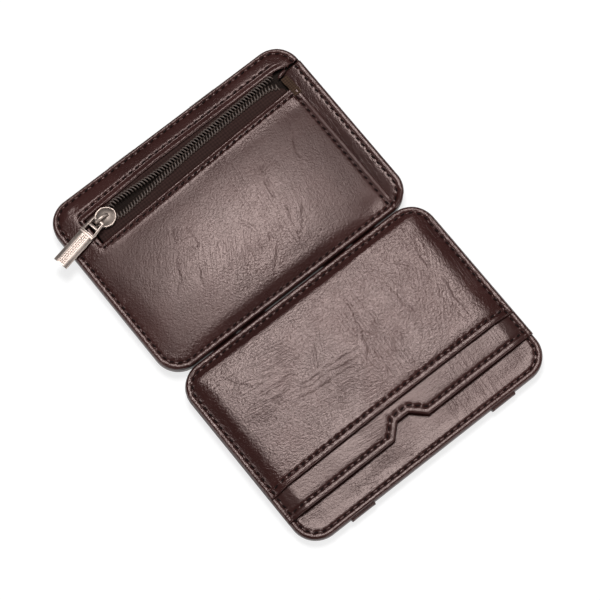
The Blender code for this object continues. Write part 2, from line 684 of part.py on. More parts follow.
def to_zip(bm, u=0.0, z=0.0):
    """Carry a bmesh drawn in (u, v, z) to the resting slider."""
    turn = Matrix.Rotation(ZIP_SLOPE, 4, "Z")
    place = zip_point(u, 0)
    bm.transform(Matrix.Translation((place.x, place.y, z)) @ turn)
    return bm


def make_slider(mat, holder, pivot):
    """Die-cast slider: two plates joined by the post between the rows, side flanges and a bail."""
    top = domed_plate(SLIDER_TOP_Z, SLIDER_PLATE, SLIDER_DOME)
    slider = finish_object(to_zip(top), "zip_slider", mat, holder, pivot)
    pieces = [prism(slider_outline(0.1 * MM), SLIDER_Z, SLIDER_Z + SLIDER_PLATE)]
    overlap = 0.2 * MM
    middle = (SLIDER_POST_START_U + SLIDER_POST_END_U) / 2
    post = [
        (SLIDER_POST_START_U, 0),
        (middle, -SLIDER_POST_HALF),
        (SLIDER_POST_END_U, -SLIDER_POST_HALF * 0.6),
        (SLIDER_POST_END_U, SLIDER_POST_HALF * 0.6),
        (middle, SLIDER_POST_HALF),
    ]
    pieces.append(prism(post, SLIDER_Z + overlap, SLIDER_TOP_Z + overlap))
    for side in (-1, 1):
        flank = [p for p in slider_outline() if p[1] * side > 0 and p[0] < SLIDER_FLANGE_END_U]
        inner = [p for p in slider_outline(SLIDER_FLANGE) if p[1] * side > 0 and p[0] < SLIDER_FLANGE_END_U]
        flank = sorted(p for p in flank if p[0] > SLIDER_NOSE_U + 0.6 * MM)
        inner = sorted(p for p in inner if p[0] > SLIDER_NOSE_U + 0.6 * MM)
        low = TAPE_Z + TAPE_THICKNESS + SLIDER_RUN_GAP
        pieces.append(prism(flank + inner[::-1], low, SLIDER_TOP_Z + overlap))
    pieces.append(bail_solid())
    for i, piece in enumerate(pieces):
        other = as_cutter(finish_object(to_zip(piece), f"zip_slider_piece_{i}", mat, holder, pivot))
        add_boolean(slider, other, "UNION")
    return slider


def domed_plate(z, thickness, dome):
    steps = ((0, 0), (0, thickness), (0.45 * MM, thickness + dome * 0.5))
    steps += ((1.15 * MM, thickness + dome * 0.85), (1.85 * MM, thickness + dome))
    return loft([[(u, v, z + rise) for u, v in slider_outline(inset)] for inset, rise in steps])


def bail_solid():
    """The arch over the slider that the pull's bar runs through."""
    floor = SLIDER_TOP_Z + SLIDER_PLATE * 0.5
    crown = PULL_PIVOT_Z + PULL_BAR / 2 + 0.4 * MM
    radius = 0.9 * MM
    outer0, outer1 = BAIL_INNER_START_U - BAIL_THICKNESS, BAIL_INNER_END_U + BAIL_THICKNESS
    outer_top = crown + BAIL_THICKNESS
    outer = [(outer0, floor)]
    outer += arc_points(outer0 + radius, outer_top - radius, radius, 180, 90, 4)
    outer += arc_points(outer1 - radius, outer_top - radius, radius, 90, 0, 4)
    outer.append((outer1, floor))
    small = 0.35 * MM
    inner = [(BAIL_INNER_END_U, floor)]
    inner += arc_points(BAIL_INNER_END_U - small, crown - small, small, 0, 90, 3)
    inner += arc_points(BAIL_INNER_START_U + small, crown - small, small, 90, 180, 3)
    inner.append((BAIL_INNER_START_U, floor))
    return extrude_along_y(outer + inner, -BAIL_WIDTH / 2, BAIL_WIDTH / 2)


def make_pull(mat, holder, pivot):
    """One casting: a tab with a sunk middle band, a shoulder and the eye that hangs on the bail."""
    half = PULL_WIDTH / 2
    band = PULL_BAND_WIDTH / 2
    low, high = -PULL_THICKNESS / 2, PULL_THICKNESS / 2
    profile = [
        (-half, low),
        (half, low),
        (half, high - PULL_BEVEL),
        (band + 0.3 * MM, high),
        (band, high),
        (band, high - PULL_BAND_DEPTH),
        (-band, high - PULL_BAND_DEPTH),
        (-band, high),
        (-band - 0.3 * MM, high),
        (-half, high - PULL_BEVEL),
    ]
    shoulder_u = -PULL_EYE_LENGTH
    bm = extrude_along_x(profile, -PULL_LENGTH, shoulder_u)
    place = Matrix.Translation(pivot)
    turn = Matrix.Rotation(PULL_YAW, 4, "Z") @ Matrix.Rotation(-PULL_PITCH, 4, "Y")
    bm.transform(place @ turn)
    pull = finish_object(bm, "pull_tab", mat, holder, pivot)
    over = 0.3 * MM
    end_half = PULL_EYE_END_WIDTH / 2
    eye = [
        (shoulder_u - over, -half),
        (shoulder_u + PULL_SHOULDER, -half),
        (PULL_BAR / 2, -end_half),
        (PULL_BAR / 2, end_half),
        (shoulder_u + PULL_SHOULDER, half),
        (shoulder_u - over, half),
    ]
    rim = 0.85 * MM
    hole = [
        (shoulder_u + PULL_SHOULDER, -half + rim + 0.1 * MM),
        (-PULL_BAR / 2, -end_half + rim),
        (-PULL_BAR / 2, end_half - rim),
        (shoulder_u + PULL_SHOULDER, half - rim - 0.1 * MM),
    ]
    bar_half = PULL_BAR / 2
    ridge = [
        (shoulder_u - 0.1 * MM, -half - 0.1 * MM),
        (shoulder_u + PULL_SHOULDER - 0.1 * MM, -half - 0.1 * MM),
        (shoulder_u + PULL_SHOULDER - 0.1 * MM, half + 0.1 * MM),
        (shoulder_u - 0.1 * MM, half + 0.1 * MM),
    ]
    frame = prism(eye, -bar_half, bar_half)
    frame_obj = finish_object(frame_at(frame, place @ turn), "pull_eye_piece", mat, holder, pivot)
    add_boolean(pull, as_cutter(frame_obj), "UNION")
    ridge_bm = prism(ridge, low - 0.05 * MM, high + 0.1 * MM)
    ridge_obj = finish_object(frame_at(ridge_bm, place @ turn), "pull_shoulder_piece", mat, holder, pivot)
    add_boolean(pull, as_cutter(ridge_obj), "UNION")
    hole_bm = prism(hole, -1 * MM, 1 * MM)
    hole_obj = finish_object(frame_at(hole_bm, place @ turn), "pull_eye_cutter", mat, holder, pivot)
    add_boolean(pull, as_cutter(hole_obj), "DIFFERENCE")
    return pull


def frame_at(bm, matrix):
    bm.transform(matrix)
    return bm


def strap_profile(y0, y1, upper):
    """Side view of a strap between two fold axes, with a round end on each axis."""
    sign = 1 if upper else -1
    top = HINGE_Z - STRAP_THICKNESS
    lean = math.degrees(math.asin(top / HINGE_Z))
    points = []
    for angle_start, angle_end, y in ((-90, 180 + lean, y1), (-lean, 270, y0)):
        for ay, az in arc_points(0, 0, HINGE_Z, angle_start, angle_end, STRAP_END_STEPS * 2):
            points.append((y + ay, HINGE_Z - sign * az))
    return points


def make_strap(name, y0, y1, x0, x1, width, upper, mat, holder, pivot):
    shear = (x1 - x0) / (y1 - y0)
    profile = strap_profile(y0, y1, upper)
    bm = extrude_along_x(profile, x0 - width / 2, x0 + width / 2, shear, y0)
    return finish_object(bm, name, mat, holder, pivot)


def make_strap_end(name, y_leg, inward, y_inner, x, width, mat, holder):
    """The strap's sewn end: out of the seam, then down beside the panel's edge."""
    fold = STRAP_FOLD_RADIUS
    path = [(y_inner, STRAP_SEAM_Z)]
    start, end = (90, 180) if inward > 0 else (90, 0)
    path += arc_points(y_leg + inward * fold, STRAP_SEAM_Z - fold, fold, start, end, 4)
    path.append((y_leg, PANEL_Z))
    bm = extrude_along_x(ribbon_outline(path, STRAP_THICKNESS), x - width / 2, x + width / 2)
    return finish_object(bm, name, mat, holder)


def build_card_panel(mats, holder, cross_width):
    cross_places = [(s * CROSS_STRAP_X, cross_width / 2) for s in (-1, 1)]
    parallel_places = [(s * PARALLEL_STRAP_X, STRAP_WIDTH / 2) for s in (-1, 1)]
    slots = strap_slots(CARD_OUTER_Y, 1, parallel_places, True)
    slots += strap_slots(CARD_INNER_Y, -1, cross_places, False)
    inset = COVER_THICKNESS + SIDE_GAP
    leather = mats["leather"]
    make_tray("card_inner_cover", CARD_SPAN, CARD_WALL_TOP, leather, holder, slots)
    make_slab("card_board", CARD_SPAN, inset, BOARD_Z, CARD_BOARD_THICKNESS, mats["board"], holder)
    make_base_cover(leather, holder)
    make_notched_pocket(leather, holder)
    make_large_pocket(leather, holder)
    for side, word in ((-1, "left"), (1, "right")):
        make_strap_end(
            f"parallel_strap_tab_{word}",
            -AXIS_Y,
            1,
            CARD_OUTER_Y + COVER_THICKNESS,
            side * PARALLEL_STRAP_X,
            STRAP_WIDTH,
            leather,
            holder,
        )
        make_strap_end(
            f"cross_strap_root_{word}",
            CARD_INNER_Y - STRAP_THICKNESS / 2 + 0.15 * MM,
            -1,
            CARD_INNER_Y - COVER_THICKNESS,
            side * CROSS_STRAP_X,
            cross_width,
            leather,
            holder,
        )


def build_coin_panel(mats, holder, cross_width):
    cross_places = [(s * CROSS_STRAP_X, cross_width / 2) for s in (-1, 1)]
    parallel_places = [(s * PARALLEL_STRAP_X, STRAP_WIDTH / 2) for s in (-1, 1)]
    slots = strap_slots(COIN_OUTER_Y, -1, cross_places, True)
    slots += strap_slots(COIN_INNER_Y, 1, parallel_places, False)
    inset = COVER_THICKNESS + SIDE_GAP
    leather = mats["leather"]
    make_tray("coin_inner_cover", COIN_SPAN, COIN_WALL_TOP, leather, holder, slots)
    make_slab("coin_board", COIN_SPAN, inset, BOARD_Z, COIN_BOARD_THICKNESS, mats["board"], holder)
    make_slab("pocket_lining", COIN_SPAN, inset, LINING_Z, LINING_THICKNESS, mats["fabric"], holder)
    make_coin_skin(leather, holder)
    make_gusset(leather, holder)
    for side, word in ((-1, "lower"), (1, "upper")):
        make_tape(f"{word}_zip_tape", side, mats["fabric"], holder)
        make_teeth(f"{word}_zip_teeth", side, mats["teeth"], holder)
    make_zip_stop(mats["metal"], holder)
    for side, word in ((-1, "left"), (1, "right")):
        make_strap_end(
            f"cross_strap_tab_{word}",
            AXIS_Y,
            -1,
            COIN_OUTER_Y - COVER_THICKNESS,
            side * CROSS_STRAP_X,
            cross_width,
            leather,
            holder,
        )
        make_strap_end(
            f"parallel_strap_root_{word}",
            COIN_INNER_Y + STRAP_THICKNESS / 2 - 0.15 * MM,
            1,
            COIN_INNER_Y + COVER_THICKNESS,
            side * PARALLEL_STRAP_X,
            STRAP_WIDTH,
            leather,
            holder,
        )


def build():
    clear_scene()
    mats = {
        "leather": make_material("dark brown glossy leather", (0.055, 0.024, 0.021), 0.38),
        "board": make_material("grey board", (0.22, 0.19, 0.16), 0.9),
        "fabric": make_material("brown woven tape", (0.05, 0.028, 0.022), 0.8),
        "teeth": make_material("brown nylon", (0.045, 0.028, 0.022), 0.45),
        "metal": make_material("nickel", (0.62, 0.58, 0.56), 0.25, 1.0),
    }
    nowhere = Vector((0, 0, 0))
    far_place = Vector((0, -AXIS_Y, HINGE_Z))
    hinge_place = Vector((0, 0, HINGE_Z))
    coin_edge_place = Vector((0, AXIS_Y, HINGE_Z))
    wallet = make_empty("wallet_frame", None, Vector((ORIGIN_SHIFT_X, 0, 0)), nowhere)
    far = make_empty("far_edge_axis", wallet, far_place, nowhere)
    hinge = make_empty("hinge_axis", far, hinge_place, far_place)
    coin_edge = make_empty("coin_edge_axis", hinge, coin_edge_place, hinge_place)

    lean = math.atan2(2 * CROSS_STRAP_X, AXIS_Y)
    cross_width = STRAP_WIDTH / math.cos(lean)
    build_card_panel(mats, (wallet, nowhere), cross_width)
    build_coin_panel(mats, (hinge, hinge_place), cross_width)

    leather = mats["leather"]
    for side, word in ((-1, "left"), (1, "right")):
        x = side * PARALLEL_STRAP_X
        make_strap(
            f"parallel_strap_{word}",
            -AXIS_Y,
            0,
            x,
            x,
            STRAP_WIDTH,
            False,
            leather,
            (far, far_place),
            far_place,
        )
        x = side * CROSS_STRAP_X
        make_strap(
            f"cross_strap_{word}",
            0,
            AXIS_Y,
            -x,
            x,
            cross_width,
            side > 0,
            leather,
            (coin_edge, coin_edge_place),
            coin_edge_place,
        )

    rest = zip_point(0, 0)
    slider_place = Vector((rest.x, rest.y, SLIDER_TOP_Z))
    slider = make_slider(mats["metal"], (hinge, hinge_place), slider_place)
    bail = zip_point(PULL_PIVOT_U, 0)
    pull_place = Vector((bail.x, bail.y, PULL_PIVOT_Z))
    make_pull(mats["metal"], (slider, slider_place), pull_place)


build()
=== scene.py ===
# %% [markdown]
# # A magic wallet, opened flat
#
# Two stiff leather panels lie side by side, joined only by straps that pass under them.
# The lower panel has two card pockets, the upper one a coin pocket with a zip.
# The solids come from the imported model: they give every place and joint. This lesson dresses
# them in leather, thread, woven tape and cast metal, and lights them as on a light table.

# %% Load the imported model
import math

import bmesh
import bpy
import numpy as np
from mathutils import Matrix, Vector, noise


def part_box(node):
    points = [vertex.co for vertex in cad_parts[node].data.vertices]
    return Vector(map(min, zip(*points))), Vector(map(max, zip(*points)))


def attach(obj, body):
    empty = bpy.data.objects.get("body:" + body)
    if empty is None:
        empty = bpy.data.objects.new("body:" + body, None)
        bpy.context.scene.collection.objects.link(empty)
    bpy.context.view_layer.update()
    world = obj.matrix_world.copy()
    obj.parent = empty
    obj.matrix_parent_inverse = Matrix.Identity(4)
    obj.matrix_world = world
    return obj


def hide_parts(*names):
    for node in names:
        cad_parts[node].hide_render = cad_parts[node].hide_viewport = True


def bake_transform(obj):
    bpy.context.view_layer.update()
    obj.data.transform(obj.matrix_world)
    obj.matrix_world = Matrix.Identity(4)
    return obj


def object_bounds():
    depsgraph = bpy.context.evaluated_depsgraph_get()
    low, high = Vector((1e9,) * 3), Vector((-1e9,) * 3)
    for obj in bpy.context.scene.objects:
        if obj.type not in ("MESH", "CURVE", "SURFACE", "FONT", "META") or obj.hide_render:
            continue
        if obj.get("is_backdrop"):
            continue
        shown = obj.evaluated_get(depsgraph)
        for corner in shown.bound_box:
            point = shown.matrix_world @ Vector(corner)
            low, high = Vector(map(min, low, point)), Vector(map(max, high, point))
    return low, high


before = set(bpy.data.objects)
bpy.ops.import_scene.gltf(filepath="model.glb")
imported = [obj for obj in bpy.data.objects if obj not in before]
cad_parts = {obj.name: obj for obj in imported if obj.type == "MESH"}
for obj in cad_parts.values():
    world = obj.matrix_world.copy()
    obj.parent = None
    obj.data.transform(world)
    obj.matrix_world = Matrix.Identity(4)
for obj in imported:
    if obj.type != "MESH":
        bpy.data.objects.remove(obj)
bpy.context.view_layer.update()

# %% [markdown]
# ## The drawing board
#
# A leather worker measures from the middle of the hinge, in millimetres, so the pieces are
# drawn that way too: x along the hinge, y across the panels, z up from the table. Each piece is
# drawn in millimetres and brought to the model's frame in one step at its end. The frame's
# middle lies a little to the left, because the zip's pull stands out there. The names say where
# the tops of the layers and the pockets' mouths lie, and how far a seam is from its edge. Two
# layers stand out over the panel's edge by OVER.

# %% Sizes shared by all pieces
inner_low, inner_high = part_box("card_inner_cover")
shift = (inner_low.x + inner_high.x) / 2
HALF = (inner_high.x - inner_low.x) * 500
WIDTH = (inner_high.y - inner_low.y) * 1000
CORNER = 9.0
HINGE = -inner_high.y * 1000
CARD_SPAN = (-HINGE - WIDTH, -HINGE)
COIN_SPAN = (HINGE, HINGE + WIDTH)
STITCH_IN, STITCH_PITCH = 2.2, 2.72
BASE_TOP, NOTCHED_TOP, LARGE_TOP, SKIN_TOP = 5.05, 5.9, 6.75, 6.08
CARD_MOUTH, NOTCHED_MOUTH = -50.4, -60.1
OVER = 0.25
print("panel:", round(HALF * 2, 2), "x", round(WIDTH, 2), "mm, shifted", round(shift * 1000, 3))

# %% [markdown]
# ## Camera
#
# The photograph was taken from high above with a long lens, with the wallet turned by about
# forty degrees in the frame. The panel corners and the table plane fix the camera's place, and
# a long focal length keeps the edges of the panels nearly parallel.

# %% Set the camera
lens = bpy.data.cameras.new("wallet_camera")
lens.lens = 180
lens.sensor_width = 36
lens.clip_start = 0.05
lens.clip_end = 20
camera = bpy.data.objects.new("wallet_camera", lens)
camera.location = (-0.143310 + shift, -0.241141, 0.935378)
camera.rotation_euler = [math.radians(a) for a in (16.4027, 2.1973, -38.3447)]
bpy.context.scene.collection.objects.link(camera)
bpy.context.scene.camera = camera
print("camera height:", round(camera.location.z, 3), "m")

# %% [markdown]
# ## Materials as sums
#
# A finish is a tree of nodes. Written as sums on a small class, it stays readable: a value
# times another adds a Math node. One function adds any other node, from its kind, its settings
# and what goes into its sockets.


# %% A small class for shader values
def plug(node, inputs):
    """Set or link a node's sockets, each numbered, or named with _ for a space."""
    for key, value in inputs.items():
        socket = node.inputs[key.replace("_", " ") if isinstance(key, str) else key]
        if isinstance(value, Value):
            node.id_data.links.new(value.socket, socket)
        else:
            socket.default_value = value


def add_node(tree, kind, settings=None, inputs=None, output=0):
    """One node of a tree, wired to its inputs, as a Value of one of its outputs."""
    made = tree.nodes.new(kind)
    for key, setting in (settings or {}).items():
        setattr(made, key, setting)
    plug(made, inputs or {})
    return Value(made.outputs[output])


class Value:
    """A socket in a material. Sums and products with it add Math nodes."""

    def __init__(self, socket):
        self.socket = socket
        self.tree = socket.id_data

    def math(self, operation, first, second=0.0):
        return add_node(self.tree, "ShaderNodeMath", {"operation": operation}, {0: first, 1: second})

    def __add__(self, other):
        return self.math("ADD", self, other)

    def __sub__(self, other):
        return self.math("SUBTRACT", self, other)

    def __rsub__(self, other):
        return self.math("SUBTRACT", other, self)

    def __mul__(self, other):
        return self.math("MULTIPLY", self, other)

    def __abs__(self):
        return self.math("ABSOLUTE", self)

    __radd__ = __add__
    __rmul__ = __mul__


def between(value, low, high, to_low=0.0, to_high=1.0):
    """A value's smooth step from one level to another."""
    inputs = {"Value": value, "From_Min": low, "From_Max": high, "To_Min": to_low, "To_Max": to_high}
    return add_node(value.tree, "ShaderNodeMapRange", {"interpolation_type": "SMOOTHSTEP"}, inputs)


def mix_colour(share, first, second):
    """A colour between two colours."""
    inputs = {"Factor": share, "A": (*first, 1), "B": (*second, 1)}
    return add_node(share.tree, "ShaderNodeMix", {"data_type": "RGBA"}, inputs, 2)


def new_material(name):
    """An empty material, with its Principled node and the object coordinates."""
    material = bpy.data.materials.new(name)
    material.use_nodes = True
    tree = material.node_tree
    return material, tree.nodes["Principled BSDF"], add_node(tree, "ShaderNodeTexCoord", output="Object")


def pattern(place, kind, scale, turn=0.0, long=1.0, settings=None, **inputs):
    """A texture on the object coordinates, drawn out along a turned direction by a Mapping node."""
    spun = {"Vector": place, "Rotation": (0, 0, math.radians(turn)), "Scale": (long, 1, 1)}
    mapped = add_node(place.tree, "ShaderNodeMapping", {"vector_type": "TEXTURE"}, spun)
    return add_node(place.tree, kind, settings, {"Vector": mapped, "Scale": scale, **inputs})


def mottle(place, scale, turn=0.0, long=1.0, **inputs):
    """A noise on the object coordinates."""
    return pattern(place, "ShaderNodeTexNoise", scale, turn, long, **inputs)


def wire(shader, **inputs):
    """Set or link the sockets of a material's shader."""
    plug(shader, inputs)


def bump(height, distance, below=None):
    """A Bump node on a height, over another bump if given."""
    over = {} if below is None else {"Normal": below}
    inputs = {"Height": height, "Distance": distance, "Strength": 1.0, **over}
    return add_node(height.tree, "ShaderNodeBump", None, inputs)


print("finishes are built from", ", ".join(f.__name__ for f in (pattern, mottle, between, bump)))

# %% [markdown]
# ## Leather
#
# The hide is a thin, dark brown leather with a soft polish. Close up it has three things: a
# grain of tiny wrinkles about half a millimetre apart, patches of fine parallel creases where
# the skin was bent, and a colour that is a little warmer where the surface is rubbed. The grain
# is three noises of different sizes, bent by a little distortion. The creases are lines where a
# noise, stretched twelve times along one of four directions, crosses its middle; each direction
# is strong in its own patches and faint between them. The coin front is duller away from the
# middle, which hands have polished.

# %% Leather finish
DARK_HIDE = (0.026, 0.0072, 0.0062)
WARM_HIDE = (0.038, 0.0115, 0.0100)


def thin_lines(value, width):
    """Lines where a noise crosses its middle: 1 on the line, 0 beside it."""
    return 1 - between(abs(value - 0.5), 0.0, width)


def dulled(place, across, middle, reach):
    """Roughness that the coin front gains away from the spot where hands have polished it."""
    spot = {"Vector": place, "Location": (middle[0] / 1000 + shift, middle[1] / 1000, 0.0075)}
    spot["Scale"] = (reach[0] / 1000, reach[1] / 1000, 1)
    spot = add_node(place.tree, "ShaderNodeMapping", {"vector_type": "TEXTURE"}, spot)
    near = add_node(place.tree, "ShaderNodeTexGradient", {"gradient_type": "SPHERICAL"}, {"Vector": spot})
    up = add_node(place.tree, "ShaderNodeSeparateXYZ", None, {"Vector": place}, 1)
    dull = between(near, 0.0, 0.85, 0.21, -0.05) * between(up, 0.004, 0.008)
    return dull * between(up, 0.046, 0.050, 1.0, 0.0) * between(abs(across), 0.043, 0.047, 1.0, 0.0)


def leather(name, polish=0.29, grain=1.0, tone=1.0, rubbed=None, folds=1.0, turns=(-9, 83, 62, 118)):
    """Dark brown leather with grain, creases and worn colour, perhaps polished at a rubbed place."""
    material, shader, place = new_material(name)
    fine = mottle(place, 2600, Detail=2, Roughness=0.6, Distortion=0.3)
    pebble = mottle(place, 1600, -30, 1.25, Detail=2, Distortion=0.4)
    coarse = mottle(place, 800, -50, 1.5, Detail=2, Distortion=0.6)
    wrinkle = thin_lines(mottle(place, 620, Detail=2, Distortion=0.5), 0.05)
    across = add_node(place.tree, "ShaderNodeSeparateXYZ", None, {"Vector": place}) - shift
    right = between(across, -0.004, 0.006)
    creases = 0
    for turn, patch_turn, where in zip(turns, (5, 75, 40, 110), (1 - right, right * 0.9, 0.45, 0.35)):
        run = mottle(place, 860, turn, 12.0, Detail=2, Roughness=0.42)
        patch = mottle(place, 75, patch_turn, 1.6, Detail=1)
        creases = thin_lines(run, 0.050) * between(patch, 0.38, 0.66, 0.12, 0.85) * where + creases
    worn = mottle(place, 38, Detail=3, Roughness=0.6)
    dark, warm = ([c * tone for c in hide] for hide in (DARK_HIDE, WARM_HIDE))
    rough = polish + (fine - 0.5) * 0.08 + (worn - 0.5) * 0.10
    if rubbed is not None:
        rough = rough + dulled(place, across, *rubbed)
    hide = fine * 0.30 + pebble * 0.54 + coarse * 0.16 - wrinkle * 0.03
    skin = bump(1 - creases, 0.00003 * folds, bump(hide, 0.00022 * grain))
    wire(shader, Base_Color=mix_colour(between(worn, 0.35, 0.7), dark, warm), Roughness=rough)
    wire(shader, Normal=skin, Specular_IOR_Level=0.5, Specular_Tint=(1.0, 0.795, 0.75, 1))
    return material


front_leather = leather("oiled_brown_leather", 0.240, 0.88, folds=1.1)
coin_leather = leather(
    "rubbed_brown_leather", 0.295, 0.75, 1.0, ((-3, 22), (58, 43)), 0.72, (57, 78, 35, 118)
)
edge_leather = leather("smooth_brown_leather", 0.31, 0.45, 0.95)
strap_leather = leather("strap_leather", 0.40, 0.8, 0.9)
print("leathers:", front_leather.name, coin_leather.name, edge_leather.name, strap_leather.name)

# %% [markdown]
# ## Thread, cloth, nylon, board and metal
#
# The seams are sewn with a waxed thread, whose twist shows as slanting stripes; its near-black
# colour is partly the thread's own dark brown and partly painted shade, the shade of the stitch holes. The
# tapes
# of the zip and the lining are woven: two sets of stripes at right angles, one over the other.
# The coil is moulded nylon, and the slider and its pull are cast metal with a nickel plating
# that has gone a little uneven.


# %% The other finishes
def thread_finish():
    """Waxed thread with slanting stripes, near-black: its own dark brown plus painted shade of the stitch
    holes.
    """
    material, shader, place = new_material("waxed_thread")
    twist = pattern(place, "ShaderNodeTexWave", 900, 35, Distortion=0.5)
    # Painted shade: the near-black thread colour also stands for the shade in the stitch holes.
    colour = mix_colour(twist, (0.005, 0.0022, 0.002), (0.013, 0.0055, 0.005))
    wire(shader, Base_Color=colour, Roughness=0.75, Normal=bump(twist, 0.00004), Specular_IOR_Level=0.12)
    return material


def woven(name, dark, light, count):
    """Plain weave with a given number of threads per metre, on the x and y coordinates."""
    material, shader, place = new_material(name)
    warp, weft = (
        pattern(place, "ShaderNodeTexWave", count / 6.283, settings={"bands_direction": way})
        for way in "XY"
    )
    weave = warp * 0.5 + weft * 0.5
    fuzz = mottle(place, 900, Detail=3)
    colour = mix_colour(weave * 0.6 + fuzz * 0.4, dark, light)
    cloth = bump(weave + fuzz * 0.4, 0.00008)
    wire(shader, Base_Color=colour, Roughness=0.9, Normal=cloth, Specular_IOR_Level=0.15)
    return material


def nylon_finish():
    """Moulded brown nylon."""
    material, shader, place = new_material("brown_nylon")
    cloudy = mottle(place, 420, Detail=2)
    colour = mix_colour(cloudy, (0.046, 0.031, 0.026), (0.128, 0.093, 0.078))
    wire(shader, Base_Color=colour, Roughness=0.30 + cloudy * 0.15)
    return material


def metal_finish(name, colour, polish):
    """Cast metal with an uneven plating."""
    material, shader, place = new_material(name)
    cloudy = mottle(place, 260, Detail=3, Roughness=0.6)
    pits = mottle(place, 2400, Detail=1)
    tone = mix_colour(between(cloudy, 0.3, 0.7), [c * 0.72 for c in colour], colour)
    rough = polish + (cloudy - 0.5) * 0.16
    wire(shader, Base_Color=tone, Roughness=rough, Normal=bump(pits, 0.00001), Metallic=1.0)
    return material


def board_finish():
    """Grey pulp board."""
    material, shader, place = new_material("grey_board")
    pulp = mottle(place, 700, Detail=4, Roughness=0.7)
    colour = mix_colour(pulp, (0.16, 0.13, 0.10), (0.27, 0.22, 0.17))
    wire(shader, Base_Color=colour, Roughness=0.9, Normal=bump(pulp, 0.00006))
    return material


thread = thread_finish()
tape_cloth = woven("zip_tape_cloth", (0.014, 0.0062, 0.0054), (0.048, 0.024, 0.0205), 1900)
end_cloth = woven("tape_end_cloth", (0.012, 0.006, 0.0045), (0.085, 0.048, 0.030), 2300)
lining_cloth = woven("lining_cloth", (0.008, 0.005, 0.004), (0.022, 0.014, 0.011), 2600)
nylon = nylon_finish()
nickel = metal_finish("plated_nickel", (0.46, 0.38, 0.335), 0.46)
bright_nickel = metal_finish("bright_nickel", (0.50, 0.415, 0.37), 0.44)
board = board_finish()
print("finishes:", thread.name, tape_cloth.name, nylon.name, nickel.name, board.name)

# %% [markdown]
# ## Finishing a piece
#
# Every piece goes through the same last step: its millimetres become metres, it moves to the
# frame, gets its finish, and is tied to the body that carries it, if one is given. Its object
# stays at the origin, so patterns on object coordinates lie still. A sheet of leather or cloth
# also gets its thickness here, from a Solidify modifier, because a sheet is easier to shape than a slab.


# %% The last step of every piece
def finish_piece(bm, name, body, finish, stands_for=(), sharp=None, thick=None, offset=-1):
    """Bring a bmesh from millimetres to the frame and make it an object on a body.

    A sheet gets its thickness downwards from its face, or to both sides with an offset of 0.
    """
    bmesh.ops.scale(bm, vec=(0.001, 0.001, 0.001), verts=bm.verts)
    bmesh.ops.translate(bm, vec=(shift, 0, 0), verts=bm.verts)
    mesh = bpy.data.meshes.new(name)
    bm.to_mesh(mesh)
    bm.free()
    mesh.polygons.foreach_set("use_smooth", [True] * len(mesh.polygons))
    if sharp is not None:
        mesh.set_sharp_from_angle(angle=math.radians(sharp))
    mesh.materials.append(finish)
    piece = bpy.data.objects.new(name, mesh)
    bpy.context.scene.collection.objects.link(piece)
    if thick is not None:
        wall = piece.modifiers.new("thickness", "SOLIDIFY")
        wall.thickness = thick / 1000
        wall.offset = offset
    if body is not None:
        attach(piece, body)
    if stands_for:
        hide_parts(*stands_for)
    print(name, "faces", len(mesh.polygons))
    return piece

# %% [markdown]
# ## A sheet of leather
#
# Each leather layer is a flat sheet that is pushed up and down: a grid whose lines crowd
# together near the edges, where the leather rolls over, and are wider apart in the middle. The
# corner squares of the grid are pressed into quarter circles. Then every point gets its height
# from a few rules: rolled edge, ridge, stitch groove, pocket slope, crown and creases.


# %% Grid, corners and distances
def lines(start, *runs):
    """Grid line places from a start, through runs of (stop, spacing)."""
    places = []
    for stop, spacing in runs:
        count = max(1, round(abs(stop - start) / spacing))
        places += list(np.linspace(start, stop, count, endpoint=False))
        start = stop
    return places + [start]


def edge_lines(low, high, rim, fine, wide):
    """Grid line places from edge to edge, close together within a rim."""
    return lines(low, (low + rim, fine), (high - rim, wide), (high, fine))


def sheet(xs, ys):
    """A grid with its lines at the given places."""
    bm = bmesh.new()
    bmesh.ops.create_grid(bm, x_segments=len(xs) - 1, y_segments=len(ys) - 1, size=1)
    for vert in bm.verts:
        column = round((vert.co.x + 1) / 2 * (len(xs) - 1))
        row = round((vert.co.y + 1) / 2 * (len(ys) - 1))
        vert.co = (xs[column], ys[row], 0)
    return bm


def points_of(bm):
    """The places of a bmesh's points, one row each."""
    return np.array([v.co[:] for v in bm.verts])


def move_points(bm, co):
    """Put a bmesh's points at the places of an array."""
    for vert, place in zip(bm.verts, co):
        vert.co = place


def round_corners(bm, span, over=0.0):
    """A sheet's points, its corner squares pressed into quarter circles, and their x and y."""
    co = points_of(bm)
    x, y = co[:, 0], co[:, 1]
    middle = (span[0] + span[1]) / 2
    side_x, side_y = np.sign(x), np.sign(y - middle)
    a = (np.abs(x) - (HALF + over - CORNER)) / CORNER
    b = (np.abs(y - middle) - (WIDTH / 2 - CORNER)) / CORNER
    inside = (a > 0) & (b > 0)
    a, b = np.where(inside, a, 0), np.where(inside, b, 0)
    x += side_x * CORNER * a * (np.sqrt(1 - b * b / 2) - 1)
    y += side_y * CORNER * b * (np.sqrt(1 - a * a / 2) - 1)
    return co, x, y


def finish_layer(bm, co, name, body, finish, node, thick):
    """Lay a leather sheet at its points, with its thickness below its face."""
    move_points(bm, co)
    return finish_piece(bm, name, body, finish, [node], thick=thick)


def from_edge(x, y, span, over=0.0):
    """Distance inwards from a panel's rounded outline."""
    qx = np.abs(x) - (HALF + over - CORNER)
    qy = np.abs(y - (span[0] + span[1]) / 2) - (WIDTH / 2 - CORNER)
    outer = np.hypot(np.maximum(qx, 0), np.maximum(qy, 0))
    return CORNER - outer - np.minimum(np.maximum(qx, qy), 0)


def step(value, low, high):
    """A smooth step from 0 to 1."""
    t = np.clip((value - low) / (high - low), 0, 1)
    return t * t * (3 - 2 * t)


def soft_bend(value, reach):
    """Zero that bends softly into a straight rise."""
    return reach * np.log1p(np.exp(np.clip(value / reach, -30, 30)))


